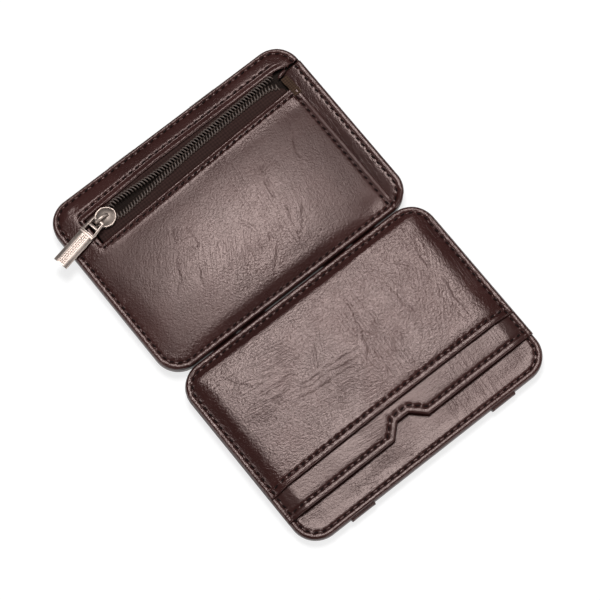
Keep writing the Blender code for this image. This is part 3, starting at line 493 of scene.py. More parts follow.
def soft_curve(value, places, reach):
    """A smooth line through (place, height) pairs, rounded over a given reach."""
    at, heights = zip(*places)
    shares = np.linspace(-1, 1, 7)
    return sum(np.interp(value + reach * k, at, heights) for k in shares) / len(shares)


def roll(distance, radius):
    """Height lost where an edge is rolled over."""
    t = np.clip(radius - distance, 0, radius)
    return -(radius - np.sqrt(np.maximum(radius * radius - t * t, 0)))


def dip(distance, width):
    """1 on a line, falling to 0 beside it."""
    return np.exp(-((distance / width) ** 2))


def to_line(x, y, start, end):
    """Distance of points from a line piece."""
    run = np.array(end, float) - np.array(start, float)
    t = np.clip(((x - start[0]) * run[0] + (y - start[1]) * run[1]) / (run @ run), 0, 1)
    return np.hypot(x - start[0] - t * run[0], y - start[1] - t * run[1])


def to_path(x, y, path):
    """Distance of points from a line of points."""
    return np.minimum.reduce([to_line(x, y, a, b) for a, b in zip(path, path[1:])])


def undulate(co, scale, seed):
    """Low soft waves from a noise, between about -1 and 1."""
    return np.array([noise.noise((p[0] / scale, p[1] / scale, seed)) for p in co])


print("sheet helpers ready, panel corner radius", CORNER)

# %% [markdown]
# ## Seams
#
# All seams are lock stitches: short dashes of thread that dive into the leather at both ends
# and pull it down a little, so the ridge beside a seam swells between the holes. The places of
# the dashes are worked out first, because the leather needs to know where its holes are.


# %% Where the stitches are
def along(path, pitch=STITCH_PITCH, closed=False):
    """Stitch places (x, y, angle) at an even pitch along a line of points."""
    points = [np.array(p, float) for p in path]
    if closed:
        points.append(points[0])
    lengths = [np.linalg.norm(b - a) for a, b in zip(points, points[1:])]
    total = sum(lengths)
    count = round(total / pitch)
    places = []
    for i in range(count):
        rest = (i + 0.5) * total / count
        k = 0
        while k < len(lengths) - 1 and rest > lengths[k]:
            rest -= lengths[k]
            k += 1
        run = (points[k + 1] - points[k]) / lengths[k]
        here = points[k] + run * rest
        places.append((here[0], here[1], math.atan2(run[1], run[0])))
    return places


def outline(span, inset):
    """Points round a panel, a given distance inside its edge."""
    radius = CORNER - inset
    middle = (span[0] + span[1]) / 2
    points = []
    for turn, sx, sy in ((-90, 1, -1), (0, 1, 1), (90, -1, 1), (180, -1, -1)):
        cx, cy = sx * (HALF - CORNER), middle + sy * (WIDTH / 2 - CORNER)
        for i in range(13):
            angle = math.radians(turn + 90 * i / 12)
            points.append((cx + radius * math.cos(angle), cy + radius * math.sin(angle)))
    return points


def pucker(x, y, stitches, near=0.42, wide=1.15):
    """How far the leather is pulled down round the dashes of thread."""
    closest = np.full(len(x), 99.0)
    for sx, sy, angle in stitches:
        reach = 0.55 * np.array((math.cos(angle + 0.2), math.sin(angle + 0.2)))
        dash = to_line(x, y, (sx - reach[0], sy - reach[1]), (sx + reach[0], sy + reach[1]))
        closest = np.minimum(closest, dash)
    return 0.26 * dip(closest, near) + 0.10 * dip(closest, wide)


def seam_inset(y):
    """How far the border seam lies inside the edge: less along the coin panel's top."""
    return STITCH_IN - 0.55 * step(np.asarray(y, float), 62.0, 68.5)


card_border = along(outline(CARD_SPAN, STITCH_IN), closed=True)
coin_line = [(x, y + STITCH_IN - float(seam_inset(y))) for x, y in outline(COIN_SPAN, STITCH_IN)]
coin_border = along(coin_line, closed=True)
print("border stitches:", len(card_border), "and", len(coin_border))

# %% [markdown]
# ## Card panel: the base
#
# The lowest layer of the card side is the leather that the pockets are sewn onto. Only a strip
# of it shows, beyond the notched pocket, with its border seam and rolled edge.


# %% Rules for a sewn border
def border(x, y, span, stitches, over=0.0):
    """Heights of a sewn border below its ridge, and the distances from the edge."""
    d = from_edge(x, y, span, over)
    inset = seam_inset(y)
    height = 0.8 * roll(d, 1.05) - 0.16 * step(d, inset - 0.45, inset) - 0.08 * dip(d - inset, 0.42)
    return height - pucker(x, y, stitches) * step(d, 0.3, 1.2), d


print("the border seam lies", STITCH_IN, "mm inside the edge")

# %% Card base
bm = sheet(
    edge_lines(-HALF, HALF, 3.2, 0.3, 0.8),
    lines(CARD_SPAN[0], (-67.4, 0.28), (-54, 0.7), (-3.5, 2.5), (-HINGE, 0.3)),
)
co, x, y = round_corners(bm, CARD_SPAN)
heights, d = border(x, y, CARD_SPAN, card_border)
heights += undulate(co, 13, 3.1) * 0.34 * step(d, 2.4, 7) - 0.25 * step(d, 2.6, 6)
co[:, 2] = BASE_TOP + heights
base = finish_layer(bm, co, "card_base_leather", "card_panel", edge_leather, "card_base_cover", 0.55)

# %% [markdown]
# ## Card panel: the notched pocket
#
# The second layer has a thumb notch in the middle of its mouth. The sheet is drawn whole, then
# sliced along the three lines of the notch and the piece between them is taken out. Near the
# cut the leather folds under, so the heights fall away there.

# %% Notched pocket
NOTCH = ((-6.95, NOTCHED_MOUTH), (-2.3, -55.6), (2.3, -55.6), (6.95, NOTCHED_MOUTH))


def cut_away(bm, polygon, inside):
    """Slice a sheet along a polygon's sides, then take out the faces that a test names."""
    pad = 1.2
    for start, end in zip(polygon, polygon[1:]):
        normal = Vector((start[1] - end[1], end[0] - start[0], 0)).normalized()
        low = [min(start[i], end[i]) - pad for i in (0, 1)]
        high = [max(start[i], end[i]) + pad for i in (0, 1)]
        near = []
        for face in bm.faces:
            centre = face.calc_center_median()
            if low[0] < centre.x < high[0] and low[1] < centre.y < high[1]:
                near.append(face)
        geom = near + list({e for f in near for e in f.edges}) + list({v for f in near for v in f.verts})
        bmesh.ops.bisect_plane(bm, geom=geom, dist=0.02, plane_co=(*start, 0), plane_no=normal)
    gone = [f for f in bm.faces if inside(f.calc_center_median())]
    bmesh.ops.delete(bm, geom=gone, context="FACES")


def in_notch(p):
    """Whether a place lies in the thumb notch."""
    (narrow, deep), (wide, mouth) = NOTCH[2:]
    return p.y <= deep and abs(p.x) < wide + (narrow - wide) * ((p.y - mouth) / (deep - mouth))


def slope(value, ease=0.14):
    """A straight slope from 0 to 1 with eased ends."""
    return (np.clip(value - ease, 0, 1) + 2 * np.clip(value, 0, 1) + np.clip(value + ease, 0, 1)) / 4


bm = sheet(
    lines(-HALF - OVER, (-46.6, 0.3), (-9, 0.6), (9, 0.3), (46.6, 0.6), (HALF + OVER, 0.3)),
    lines(NOTCHED_MOUTH, (-54.6, 0.26), (-48.5, 0.55), (-3.5, 2.5), (-HINGE, 0.3)),
)
cut_away(bm, NOTCH, in_notch)
co, x, y = round_corners(bm, CARD_SPAN, OVER)
heights, d = border(x, y, CARD_SPAN, card_border, OVER)
plateau = 0.88 * (1 - slope(np.maximum((np.abs(x) - 42.6) / 4.7, 0)))
mouth_y = np.where(np.abs(x) > NOTCH[3][0], y - NOTCHED_MOUTH, 99)
from_mouth = np.minimum(mouth_y, to_path(x, y, NOTCH))
notch_hem = []
for sign in (-1, 1):
    notch_hem += along([(sign * 47.0, -57.8), (sign * 8.2, -57.7), (sign * 3.6, -53.4), (0, -53.2)])
hem = roll(from_mouth, 0.5) - 0.10 * dip(from_mouth - 2.4, 0.45) + 0.06 * dip(from_mouth - 1.2, 0.7)
hem -= pucker(x, y, notch_hem)
co[:, 2] = NOTCHED_TOP + heights + plateau * step(d, 2.6, 4.0) + hem
co[:, 2] += undulate(co, 12, 7.7) * 0.20 * step(d, 2.5, 6)
notched = finish_layer(
    bm, co, "notched_pocket_leather", "card_panel", edge_leather, "notched_card_pocket", 0.5
)

# %% [markdown]
# ## Card panel: the large pocket
#
# The top layer swells over what it holds: a flat plateau with sloping sides. This is the
# surface that the light catches, so it has the finest grid, and the long creases of the hide
# are pressed into it one by one.

# %% Large card pocket
CARD_CREASES = (
    ((-30, -25.5), (-18, -27), (-8, -28.5), (2, -29.5)),
    ((-25, -27.5), (-12, -30), (1, -32)),
    ((-22, -31), (-10, -32.5), (-2, -33)),
    ((10, -12), (8.5, -20), (8, -25), (5, -31), (3, -34)),
    ((6.5, -30), (6, -38), (4.5, -44)),
    ((24, -18), (23.6, -27), (23.8, -35)),
    ((30, -14), (34, -19), (36, -26), (36.5, -34), (36, -44)),
    ((35, -22), (35.5, -32), (35, -42)),
    ((38, -18), (38.6, -30), (38, -45)),
    ((-38, -9), (-35, -14), (-32, -18)),
    ((13, -16), (13.5, -22), (13, -28)),
    ((17, -34), (15.5, -40), (15, -45)),
    ((-7, -16), (-9, -22), (-12, -26)),
)
HEM_IN = 2.45


def press_creases(x, y, creases, depth, width):
    """Height lost along a set of crease lines, which wander a little and come and go."""
    spots = np.stack([x, y], axis=1)
    x, y = x + 0.9 * undulate(spots, 4.2, 11.5), y + 0.9 * undulate(spots, 4.2, 21.5)
    depth = depth * np.clip(0.65 + 0.9 * undulate(spots, 3.0, 31.5), 0.1, 1)
    return depth * dip(np.minimum.reduce([to_path(x, y, crease) for crease in creases]), width)


def card_mouth(x):
    """The large pocket's mouth: straight over the plateau, drooping at both ends."""
    return CARD_MOUTH - 0.35 * step(np.abs(x), 41, 49) + 0.25 * dip(x, 30)


bm = sheet(
    edge_lines(-HALF, HALF, 3.2, 0.3, 0.48),
    lines(CARD_MOUTH, (-46.5, 0.28), (-6.5, 0.46), (-HINGE, 0.28)),
)
co, x, y = round_corners(bm, CARD_SPAN)
y += (card_mouth(x) - CARD_MOUTH) * step(-y, 38, 50)
heights, d = border(x, y, CARD_SPAN, card_border)
side_fall = soft_bend(np.abs(x) - 43.1, 1.1) * 0.365
top_fall = soft_bend(y + 4.45, 0.35) * 0.84 + 0.52 * np.maximum((y + 15.5) / 11, 0) ** 2
swell = np.maximum(1.58 - np.hypot(side_fall, top_fall), 0)
mouth = y - card_mouth(x)
on_plateau = [(at, card_mouth(at) + HEM_IN) for at in (-42.5, 0, 42.5)]
card_hem = along([(-47.0, -48.3), *on_plateau, (47.0, -48.3)], 2.75)
hem = roll(mouth, 0.55) - 0.08 * dip(mouth - HEM_IN, 0.42) + 0.07 * dip(mouth - 1.2, 0.8)
hem -= pucker(x, y, card_hem)
flat = step(d, 3.0, 6.0) * step(mouth, 2.8, 5.0)
crown = 0.15 * undulate(co, 16, 1.3) + 0.07 * undulate(co, 6, 4.4)
crown -= 0.30 * dip(np.hypot(x + 8, (y + 42) * 1.4), 9) + 0.24 * dip(np.hypot(x - 25, (y + 9) * 1.5), 8)
co[:, 2] = LARGE_TOP + heights + swell + hem + crown * flat
co[:, 2] -= press_creases(x, y, CARD_CREASES, 0.15, 0.34) * flat
large = finish_layer(
    bm, co, "large_pocket_leather", "card_panel", front_leather, "large_card_pocket", 0.55
)

# %% [markdown]
# ## Coin panel: the front
#
# The coin side is one leather with a window for the zip. It is drawn whole and cut along the
# window's slanting edges and along the right side, where the front ends over the gusset.
# It swells like a pillow: highest in the middle, low at the seams.

# %% Coin front
WINDOW_LEFT, WINDOW_RIGHT = -39.6, 43.3
LOWER_FOLD = ((WINDOW_RIGHT, 55.0), (WINDOW_LEFT, 51.2))
UPPER_FOLD = ((WINDOW_LEFT, 61.0), (-9.0, 62.4))
WINDOW = ((WINDOW_RIGHT, -8.0), *LOWER_FOLD, *UPPER_FOLD, (WINDOW_RIGHT, 62.6), (60.0, 61.4))


def lower_fold(x):
    """Where the window's lower fold runs at an x."""
    return 51.2 + (55.0 - 51.2) * (x + 39.6) / 82.9


def upper_fold(x):
    """Where the window's upper fold runs at an x."""
    left = 61.0 + 1.4 * (x + 39.6) / 30.6
    return np.where(x < -9, left, 62.4 + 0.2 * (x + 9) / 52.3) - 1.1 * step(x, 40, 47)


def in_window(p):
    """Whether a place lies in the zip's window, or beside the front, over the gusset."""
    if p.x > WINDOW_RIGHT:
        return p.y < upper_fold(p.x)
    return p.x > WINDOW_LEFT and lower_fold(p.x) < p.y < upper_fold(p.x)


bm = sheet(
    lines(
        -HALF, (-HALF + 3.2, 0.3), (-41.5, 0.46), (-38.5, 0.25), (40.0, 0.48),
        (44.0, 0.27), (HALF - 3.2, 0.5), (HALF, 0.3),
    ),
    lines(
        HINGE, (3.6, 0.3), (48.0, 0.47), (50.8, 0.32), (55.6, 0.2),
        (61.0, 0.54), (65.8, 0.2), (COIN_SPAN[1], 0.3),
    ),
)
cut_away(bm, WINDOW, in_window)
co, x, y = round_corners(bm, COIN_SPAN)
print("coin front cut out of a sheet, points:", len(co))

# %% [markdown]
# ### The pillow
#
# How full the pocket is comes from two curves, one across and one up the panel, whose product
# is the cushion. Above the window the leather is a narrow strip with its own crest, and a few
# dents stand where the hide gives way. Beside every fold the sheet is tilted down to the zip.

# %% How full the coin front is
CUSHION_ACROSS = ((-47.4, 0), (-42, 0.52), (-38, 0.67), (-34, 0.77), (-26, 0.89), (-16, 0.965), (-4, 1.0))
CUSHION_ACROSS += ((10, 0.985), (20, 0.91), (28, 0.78), (34, 0.60), (38, 0.45), (41, 0.32), (43.3, 0.26))
CUSHION_UP = ((2.9, 0), (4.6, 0.27), (6.5, 0.47), (12, 0.72), (20, 0.95), (27, 1.0), (36, 0.93))
CUSHION_UP += ((44, 0.79), (50, 0.60), (55, 0.58))
DENTS = ((0.30, (37.5, 48.3), 3.2), (0.38, (37.0, 6.0), 2.8), (0.10, (-30, 12), 5))

heights, d = border(x, y, COIN_SPAN, coin_border)
low_side = y < 58
rise_x = soft_curve(x, CUSHION_ACROSS, 2.0)
rise_y = soft_curve(y - (lower_fold(x) - 53) * step(y, 20, 45), CUSHION_UP, 1.2)
rise_y += (0.88 - rise_y) * (1 - step(x, -42, -30)) * step(y, 40, 50)
cushion = 2.5 * rise_x * rise_y
crest = 1.30 - 0.40 * step(x, -5, 40)
strip = crest * np.clip((d - 2.1) / 4.0, 0, 1)
share = np.where(x < -39.0, step(y, 57.0, 63.0), np.where(low_side, 0, 1))
pillow = cushion * (1 - share) + np.where(x < -39.0, np.minimum(cushion, strip), strip) * share
pillow += (0.95 - pillow) * (0.85 * dip(np.hypot(x + 41.0, (y - 66.3) * 1.3), 2.7))
for dent, (dx, dy), reach in DENTS:
    pillow -= dent * dip(np.hypot((x - dx) / 1.4, y - dy), reach)
print("pillow up to", round(float(pillow.max()), 2), "mm")

# %% Folds, seams and creases of the coin front
SEAM_LINES = (
    ((-41.0, 49.5), (41.1, 52.5)),
    ((41.1, 2.6), (41.1, 51.8)),
    ((-41.0, 63.3), (-24.0, 64.3), (-9.0, 64.9), (41.0, 65.2)),
    ((-41.0, 50.6), (-41.0, 62.6)),
)
COIN_CREASES = (
    ((-11.5, 9), (-9.5, 12), (-7.5, 15.5)),
    ((-2, 7.5), (1, 11), (5.5, 15.5)),
    ((-0.5, 16), (1, 20), (1.2, 24), (-1, 29)),
    ((4, 17), (6, 22), (7, 27)),
    ((10.5, 8), (12.5, 14), (14, 20), (17, 26)),
    ((13, 28), (14.5, 33), (17, 39.5)),
    ((-31, 22), (-27, 27), (-23, 33)),
    ((-23, 19), (-20, 25)),
    ((-21, 36), (-19, 40.5)),
    ((29, 34), (30, 38), (34, 45.5)),
    ((-16, 38), (-15.5, 34), (-16.5, 31)),
    ((12, 12), (16, 15), (19, 20)),
)

seams = [place for line in SEAM_LINES for place in along(line)]
in_seam = np.minimum.reduce([to_path(x, y, line) for line in SEAM_LINES])
tilted = to_path(x, y, (*LOWER_FOLD, *UPPER_FOLD, (40.0, 62.6), (47.0, 61.5)))
fold_side = np.where(low_side, np.maximum(WINDOW_RIGHT - x, 0), 99)
fold = np.minimum(tilted, fold_side)
tilt = np.clip(SKIN_TOP - 0.16 + pillow - 6.0, 0.05, 0.80 + 0.25 * step(y, 58, 62))
hem = roll(fold, 0.3) - 0.08 * dip(in_seam, 0.42) - tilt * np.clip((2.0 - tilted) / 2.0, 0, 1)
hem += 0.17 * dip(tilted - 0.45, 0.26)
hem += 0.10 * dip(tilted - 3.0, 0.5) * step(x, -40, -37) * step(fold_side, 2.5, 4) * low_side
hem += np.where(low_side, 0.40 * (step(fold_side, 0, 0.5) - step(fold_side, 1.4, 1.95)), 0)
folded = 1 - 0.75 * (1 - step(tilted, 1.9, 2.5))
hem -= pucker(x, y, seams) * np.where(d < 2.6, 0, 1) * folded
waves = 0.10 * undulate(co, 15, 9.2) + 0.03 * undulate(co, 6.5, 2.4)
co[:, 2] = SKIN_TOP + heights + pillow + hem + waves * step(d, 4, 9) * step(fold, 3, 7)
co[:, 2] -= press_creases(x, y, COIN_CREASES, 0.16, 0.36) * step(d, 2.7, 4.5)
coin_front = finish_layer(
    bm, co, "coin_front_leather", "coin_panel", coin_leather, "coin_pocket_skin", 0.6
)

# %% [markdown]
# ## Coin panel: the gusset
#
# A separate strip closes the pocket's right side. It is sewn along the panel's edge and dives
# under the front in a pleat, so that the pocket can open like a bag.

# %% Gusset
bm = sheet(
    lines(42.6, (47.0, 0.35), (HALF + OVER, 0.28)),
    lines(HINGE + 0.4, (3.5, 0.3), (58.5, 0.6), (61.0, 0.22)),
)
co, x, y = round_corners(bm, COIN_SPAN, OVER)
heights, d = border(x, y, COIN_SPAN, coin_border, OVER)
pleat = 1.5 * np.clip((47.8 - x) / 4.8, 0, 1.05)
top = roll(61.0 - y, 0.6)
co[:, 2] = SKIN_TOP + heights - pleat + top + 0.10 * undulate(co, 9, 5.5) * step(d, 2.6, 5)
lip = bmesh.ops.create_uvsphere(bm, u_segments=12, v_segments=12, radius=0.5)
turned = Matrix.Rotation(math.radians(14), 4, "Z") @ Matrix.Diagonal((4.0, 1.3, 1.1, 1))
bmesh.ops.transform(bm, matrix=Matrix.Translation((42.1, 60.6, 6.05)) @ turned, verts=lip["verts"])
gusset = finish_layer(bm, co, "gusset_leather", "coin_panel", edge_leather, "pocket_gusset", 0.45)

# %% [markdown]
# ## Thread
#
# One dash of thread is a small capsule with its ends turned down into the holes. The same
# capsule is set at every stitch, leaning a little across the seam as sewn dashes do.

# %% Stitches
DASH = (1.95, 0.62, 0.62 * 0.9)
LEAN = math.radians(13)
THREAD_OVER = 0.10


def surface_height(*sheets):
    """A function giving the highest leather at a place, by rays on the finished sheets."""
    bpy.context.view_layer.update()

    def height(x, y):
        best = -1.0
        for piece in sheets:
            start = Vector((x * 0.001 + shift, y * 0.001, 0.02))
            hit, place = piece.ray_cast(start, Vector((0, 0, -1)))[:2]
            if hit:
                best = max(best, place.z * 1000)
        return best

    return height


def sew(name, body, stitches, height):
    """Dashes of thread at the given places, each as high as the leather there."""
    bm = bmesh.new()
    bend = Matrix.Diagonal((*DASH, 1)) @ Matrix.Rotation(math.pi / 2, 4, "Y")
    for x, y, angle in stitches:
        verts = bmesh.ops.create_uvsphere(bm, u_segments=6, v_segments=6, radius=0.5)["verts"]
        bmesh.ops.transform(bm, matrix=bend, verts=verts)
        for vert in verts:
            vert.co.z -= 0.35 * (vert.co.x / DASH[0] * 2) ** 4
        place = Matrix.Translation((x, y, height(x, y) + THREAD_OVER))
        bmesh.ops.transform(bm, matrix=place @ Matrix.Rotation(angle + LEAN, 4, "Z"), verts=verts)
    finish_piece(bm, name, body, thread)


card_height = surface_height(base, notched, large)
coin_height = surface_height(coin_front, gusset)
sew("card_border_seam", "card_panel", card_border, card_height)
sew("large_mouth_seam", "card_panel", card_hem, card_height)
sew("notched_mouth_seam", "card_panel", notch_hem, card_height)
sew("coin_border_seam", "coin_panel", coin_border, coin_height)
sew("coin_front_seams", "coin_panel", seams, coin_height)

# %% [markdown]
# ## Backs and walls
#
# Behind each panel's board the back leather is folded up round the edge, like the case of a
# book. Seen from the side it is the lowest of the stacked edges. It is drawn upside down as a
# sheet, with its rim pulled up, and its own seam shows on the back.


# %% Panel backs
def panel_back(name, span, wall_top, body, node):
    """The back leather of a panel, with its rim pulled up as the panel's wall."""
    bm = sheet(edge_lines(-HALF, HALF, 3.0, 0.3, 1.1), edge_lines(*span, 3.0, 0.3, 1.1))
    co, x, y = round_corners(bm, span)
    d = from_edge(x, y, span)
    inner = -roll(d, 0.7) + 0.16 * dip(d - STITCH_IN, 0.45) + 0.05 * undulate(co, 13, 6.1) * step(d, 3, 6)
    co[:, 2] = 1.7 + np.maximum(inner, 0)
    move_points(bm, co)
    bmesh.ops.reverse_faces(bm, faces=bm.faces)
    rim = [e for e in bm.edges if e.is_boundary]
    for z in (2.9, wall_top - 0.3, wall_top):
        made = bmesh.ops.extrude_edge_only(bm, edges=rim)
        rim = [g for g in made["geom"] if isinstance(g, bmesh.types.BMEdge) and g.is_boundary]
        for vert in {v for e in rim for v in e.verts}:
            vert.co.z = z
    bmesh.ops.recalc_face_normals(bm, faces=bm.faces)
    finish_piece(bm, name, body, edge_leather, [node], thick=0.7)


panel_back("card_back_leather", CARD_SPAN, 4.2, "card_panel", "card_inner_cover")
panel_back("coin_back_leather", COIN_SPAN, 4.95, "coin_panel", "coin_inner_cover")

# %% [markdown]
# ## Straps
#
# Four leather straps hold the panels together and make the wallet flip. Two run straight under
# the card panel, two cross under the coin panel. Each is a flat band that leaves a seam, turns
# round the panel's edge and runs underneath. A piece that bends at a fold is tied to no body;
# a strap that crosses two folds is made in two halves.

# %% A strap from its centre line
PANEL_END = 71.5
LOW_LEVEL, HIGH_LEVEL = 0.3, 1.15
PARALLEL_AT, PARALLEL_WIDE = 28.7, 9.2
CROSSED_AT, CROSSED_WIDE = 17.0, 10.19


def turn_points(y, z, radius, start, end, steps=8):
    """Points of a (y, z) arc about a centre."""
    angles = [math.radians(start + (end - start) * i / steps) for i in range(steps + 1)]
    return [(y + radius * math.cos(angle), z + radius * math.sin(angle)) for angle in angles]


def run_points(start, end, steps):
    """Points of a straight (y, z) run."""
    start, end = np.array(start), np.array(end)
    return [tuple(start + (end - start) * i / steps) for i in range(steps + 1)]


def strap(name, path, middle, width, nodes, body=None, fold=None, crossing=False):
    """A band along a (y, z) line, perhaps slanting to the other side of the panel."""
    bm = bmesh.new()
    bmesh.ops.create_grid(bm, x_segments=8, y_segments=len(path) - 1, size=1)
    slant = 2 if crossing else 0
    for vert in bm.verts:
        y, z = path[round((vert.co.y + 1) / 2 * (len(path) - 1))]
        centre = middle * (1 - slant * min(max(y, 0), PANEL_END) / PANEL_END)
        vert.co = (centre + vert.co.x / 2 * width, y, z)
    bmesh.ops.recalc_face_normals(bm, faces=bm.faces)
    piece = finish_piece(bm, name, body, strap_leather, nodes, thick=0.6, offset=0)
    if not crossing:
        rounding = piece.modifiers.new("edges", "BEVEL")
        rounding.width = 0.00015
        rounding.segments = 2
    if fold is not None:
        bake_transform(piece)


far = run_points((-70.1, 3.75), (-70.9, 3.75), 3)
far += turn_points(-70.95, 3.45, 0.3, 90, 180, 4) + run_points((-71.25, 3.2), (-71.25, 2.4), 2)
far += turn_points(-69.35, 2.2, 1.9, 180, 270) + run_points((-69.0, LOW_LEVEL), (-35.9, LOW_LEVEL), 24)
near = run_points((-35.9, LOW_LEVEL), (-0.5, LOW_LEVEL), 24) + turn_points(-0.35, 0.95, 0.65, 270, 360, 6)
near += run_points((0.3, 1.2), (0.3, 3.3), 4) + turn_points(0.6, 3.4, 0.3, 180, 90, 4)
near += run_points((0.7, 3.7), (1.1, 3.7), 2)
far_fold = ("card_panel", "parallel_straps", -0.0723, -0.0707)
near_fold = ("parallel_straps", "coin_panel", -0.0008, 0.0008)
for side, word in ((-1, "left"), (1, "right")):
    band = {"middle": side * PARALLEL_AT, "width": PARALLEL_WIDE}
    tab = [f"parallel_strap_tab_{word}"]
    strap(f"parallel_strap_far_{word}_leather", far, nodes=tab, fold=far_fold, **band)
    rest = [f"parallel_strap_{word}", f"parallel_strap_root_{word}"]
    strap(f"parallel_strap_near_{word}_leather", near, nodes=rest, fold=near_fold, **band)

# %% [markdown]
# ### The crossed straps
#
# Each crossed strap starts at one side of the coin panel's outer edge and ends at the other side
# of the hinge. The two lie on two levels, so that they pass over each other in the middle.

# %% Crossed straps
outer_fold = ("coin_panel", "cross_straps", 0.0723, 0.0707)
for side, word, end_word, level in ((-1, "left", "right", LOW_LEVEL), (1, "right", "left", HIGH_LEVEL)):
    outer = run_points((35.75, level), (69.9, level), 24) + turn_points(69.95, level + 1.3, 1.3, 270, 360)
    outer += run_points((71.25, level + 1.6), (71.25, 3.3), 4)
    outer += turn_points(70.95, 3.45, 0.3, 0, 90, 4) + run_points((70.9, 3.75), (70.1, 3.75), 2)
    inner = run_points((-0.3, 3.7), (-0.15, 3.7), 1) + run_points((-0.2, 3.4), (-0.35, 1.2), 4)
    inner += turn_points(0.3, level + 0.6, 0.6, 180, 270, 6) + run_points((0.5, level), (35.75, level), 24)
    band = {"middle": -side * CROSSED_AT, "width": CROSSED_WIDE, "crossing": True}
    tab = [f"cross_strap_tab_{end_word}"]
    strap(f"cross_strap_outer_{word}_leather", outer, nodes=tab, fold=outer_fold, **band)
    rest = [f"cross_strap_{word}", f"cross_strap_root_{word}"]
    strap(f"cross_strap_inner_{word}_leather", inner, nodes=rest, body="cross_straps", **band)

# %% [markdown]
# ## Boards and lining
#
# The boards stay the solids that they are, with a finish of grey pulp. The lining of the coin
# pocket is a dark woven cloth, laid in soft waves on its board. It is cut like the inside of the
# panel, less a seam allowance.

# %% Boards and lining
SEAM_ALLOWANCE = 1.1


def dress(node, finish):
    """Give a solid that stays as it is a better material."""
    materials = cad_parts[node].data.materials
    materials.clear()
    materials.append(finish)


dress("card_board", board)
dress("coin_board", board)
bm = sheet(lines(-HALF, (HALF, 0.9)), lines(COIN_SPAN[0], (COIN_SPAN[1], 0.9)))
co, x, y = round_corners(bm, COIN_SPAN)
middle = sum(COIN_SPAN) / 2
co[:, 0] *= (HALF - SEAM_ALLOWANCE) / HALF
co[:, 1] = middle + (y - middle) * (WIDTH / 2 - SEAM_ALLOWANCE) / (WIDTH / 2)
co[:, 2] = 4.35 + 0.12 * undulate(co, 5, 8.8)
move_points(bm, co)
lining = finish_piece(
    bm, "lining_cloth", "coin_panel", lining_cloth, ["pocket_lining"], thick=0.3
)

# %% [markdown]
# ## The zip
#
# A nylon coil zip: each row of teeth is one nylon filament wound into a coil and sewn to the
# edge of a woven tape. The pocket stands half open, so the rows spread apart behind the slider
# and lie in soft curves. Each row is a helix drawn along its curve, and the tape is a cloth
# strip from the row to under the leather.

# %% The rows' curves
ZIP_REST = (-33.7, 57.5)
ZIP_TURN = math.radians(1.23)
LOWER_ROW = ((6.0, -2.3), (24.7, -0.8), (45.7, 0.2), (65.0, 0.5), (70.5, -0.3), (74.0, -3.2))
UPPER_ROW = ((6.0, 2.6), (24.7, 1.3), (45.7, 1.95), (74.0, 2.7))
TAPE_TOP = 5.85


def zip_point(u, v):
    """Place in the panel of a point u along the slider's line and v across it."""
    c, s = math.cos(ZIP_TURN), math.sin(ZIP_TURN)
    return ZIP_REST[0] + u * c - v * s, ZIP_REST[1] + u * s + v * c


def row_offset(u, side):
    """Distance of a row from the slider's line, on a smooth curve through its places."""
    places = [(-5.35, side * 0.95), (-4.2, side * 0.95), (0.9, side * 1.75), (3.5, side * 1.85)]
    places += list(LOWER_ROW if side < 0 else UPPER_ROW)
    slopes = []
    for i in range(len(places)):
        back, ahead = places[max(0, i - 1)], places[min(len(places) - 1, i + 1)]
        slopes.append((ahead[1] - back[1]) / (ahead[0] - back[0]))
    i = 0
    while i < len(places) - 2 and u > places[i + 1][0]:
        i += 1
    (u0, v0), (u1, v1) = places[i], places[i + 1]
    t = min(1.0, max(0.0, (u - u0) / (u1 - u0)))
    bend = v0 * (1 + 2 * t) * (1 - t) ** 2 + v1 * t * t * (3 - 2 * t)
    return bend + (u1 - u0) * t * (1 - t) * (slopes[i] * (1 - t) - slopes[i + 1] * t)


print("row gap in the middle:", round(row_offset(40, 1) - row_offset(40, -1), 2), "mm")


# %% Coil and tape of each row
def tube(points, radius, sides=1):
    """A bmesh tube along a line of points."""
    curve = bpy.data.curves.new("tube", "CURVE")
    curve.dimensions = "3D"
    curve.bevel_depth = radius
    curve.bevel_resolution = sides
    curve.use_fill_caps = True
    spline = curve.splines.new("POLY")
    spline.points.add(len(points) - 1)
    for point, place in zip(spline.points, points):
        point.co = (*place, 1)
    holder = bpy.data.objects.new("tube", curve)
    bpy.context.scene.collection.objects.link(holder)
    made = bpy.data.meshes.new_from_object(holder.evaluated_get(bpy.context.evaluated_depsgraph_get()))
    bm = bmesh.new()
    bm.from_mesh(made)
    bpy.data.objects.remove(holder)
    return bm


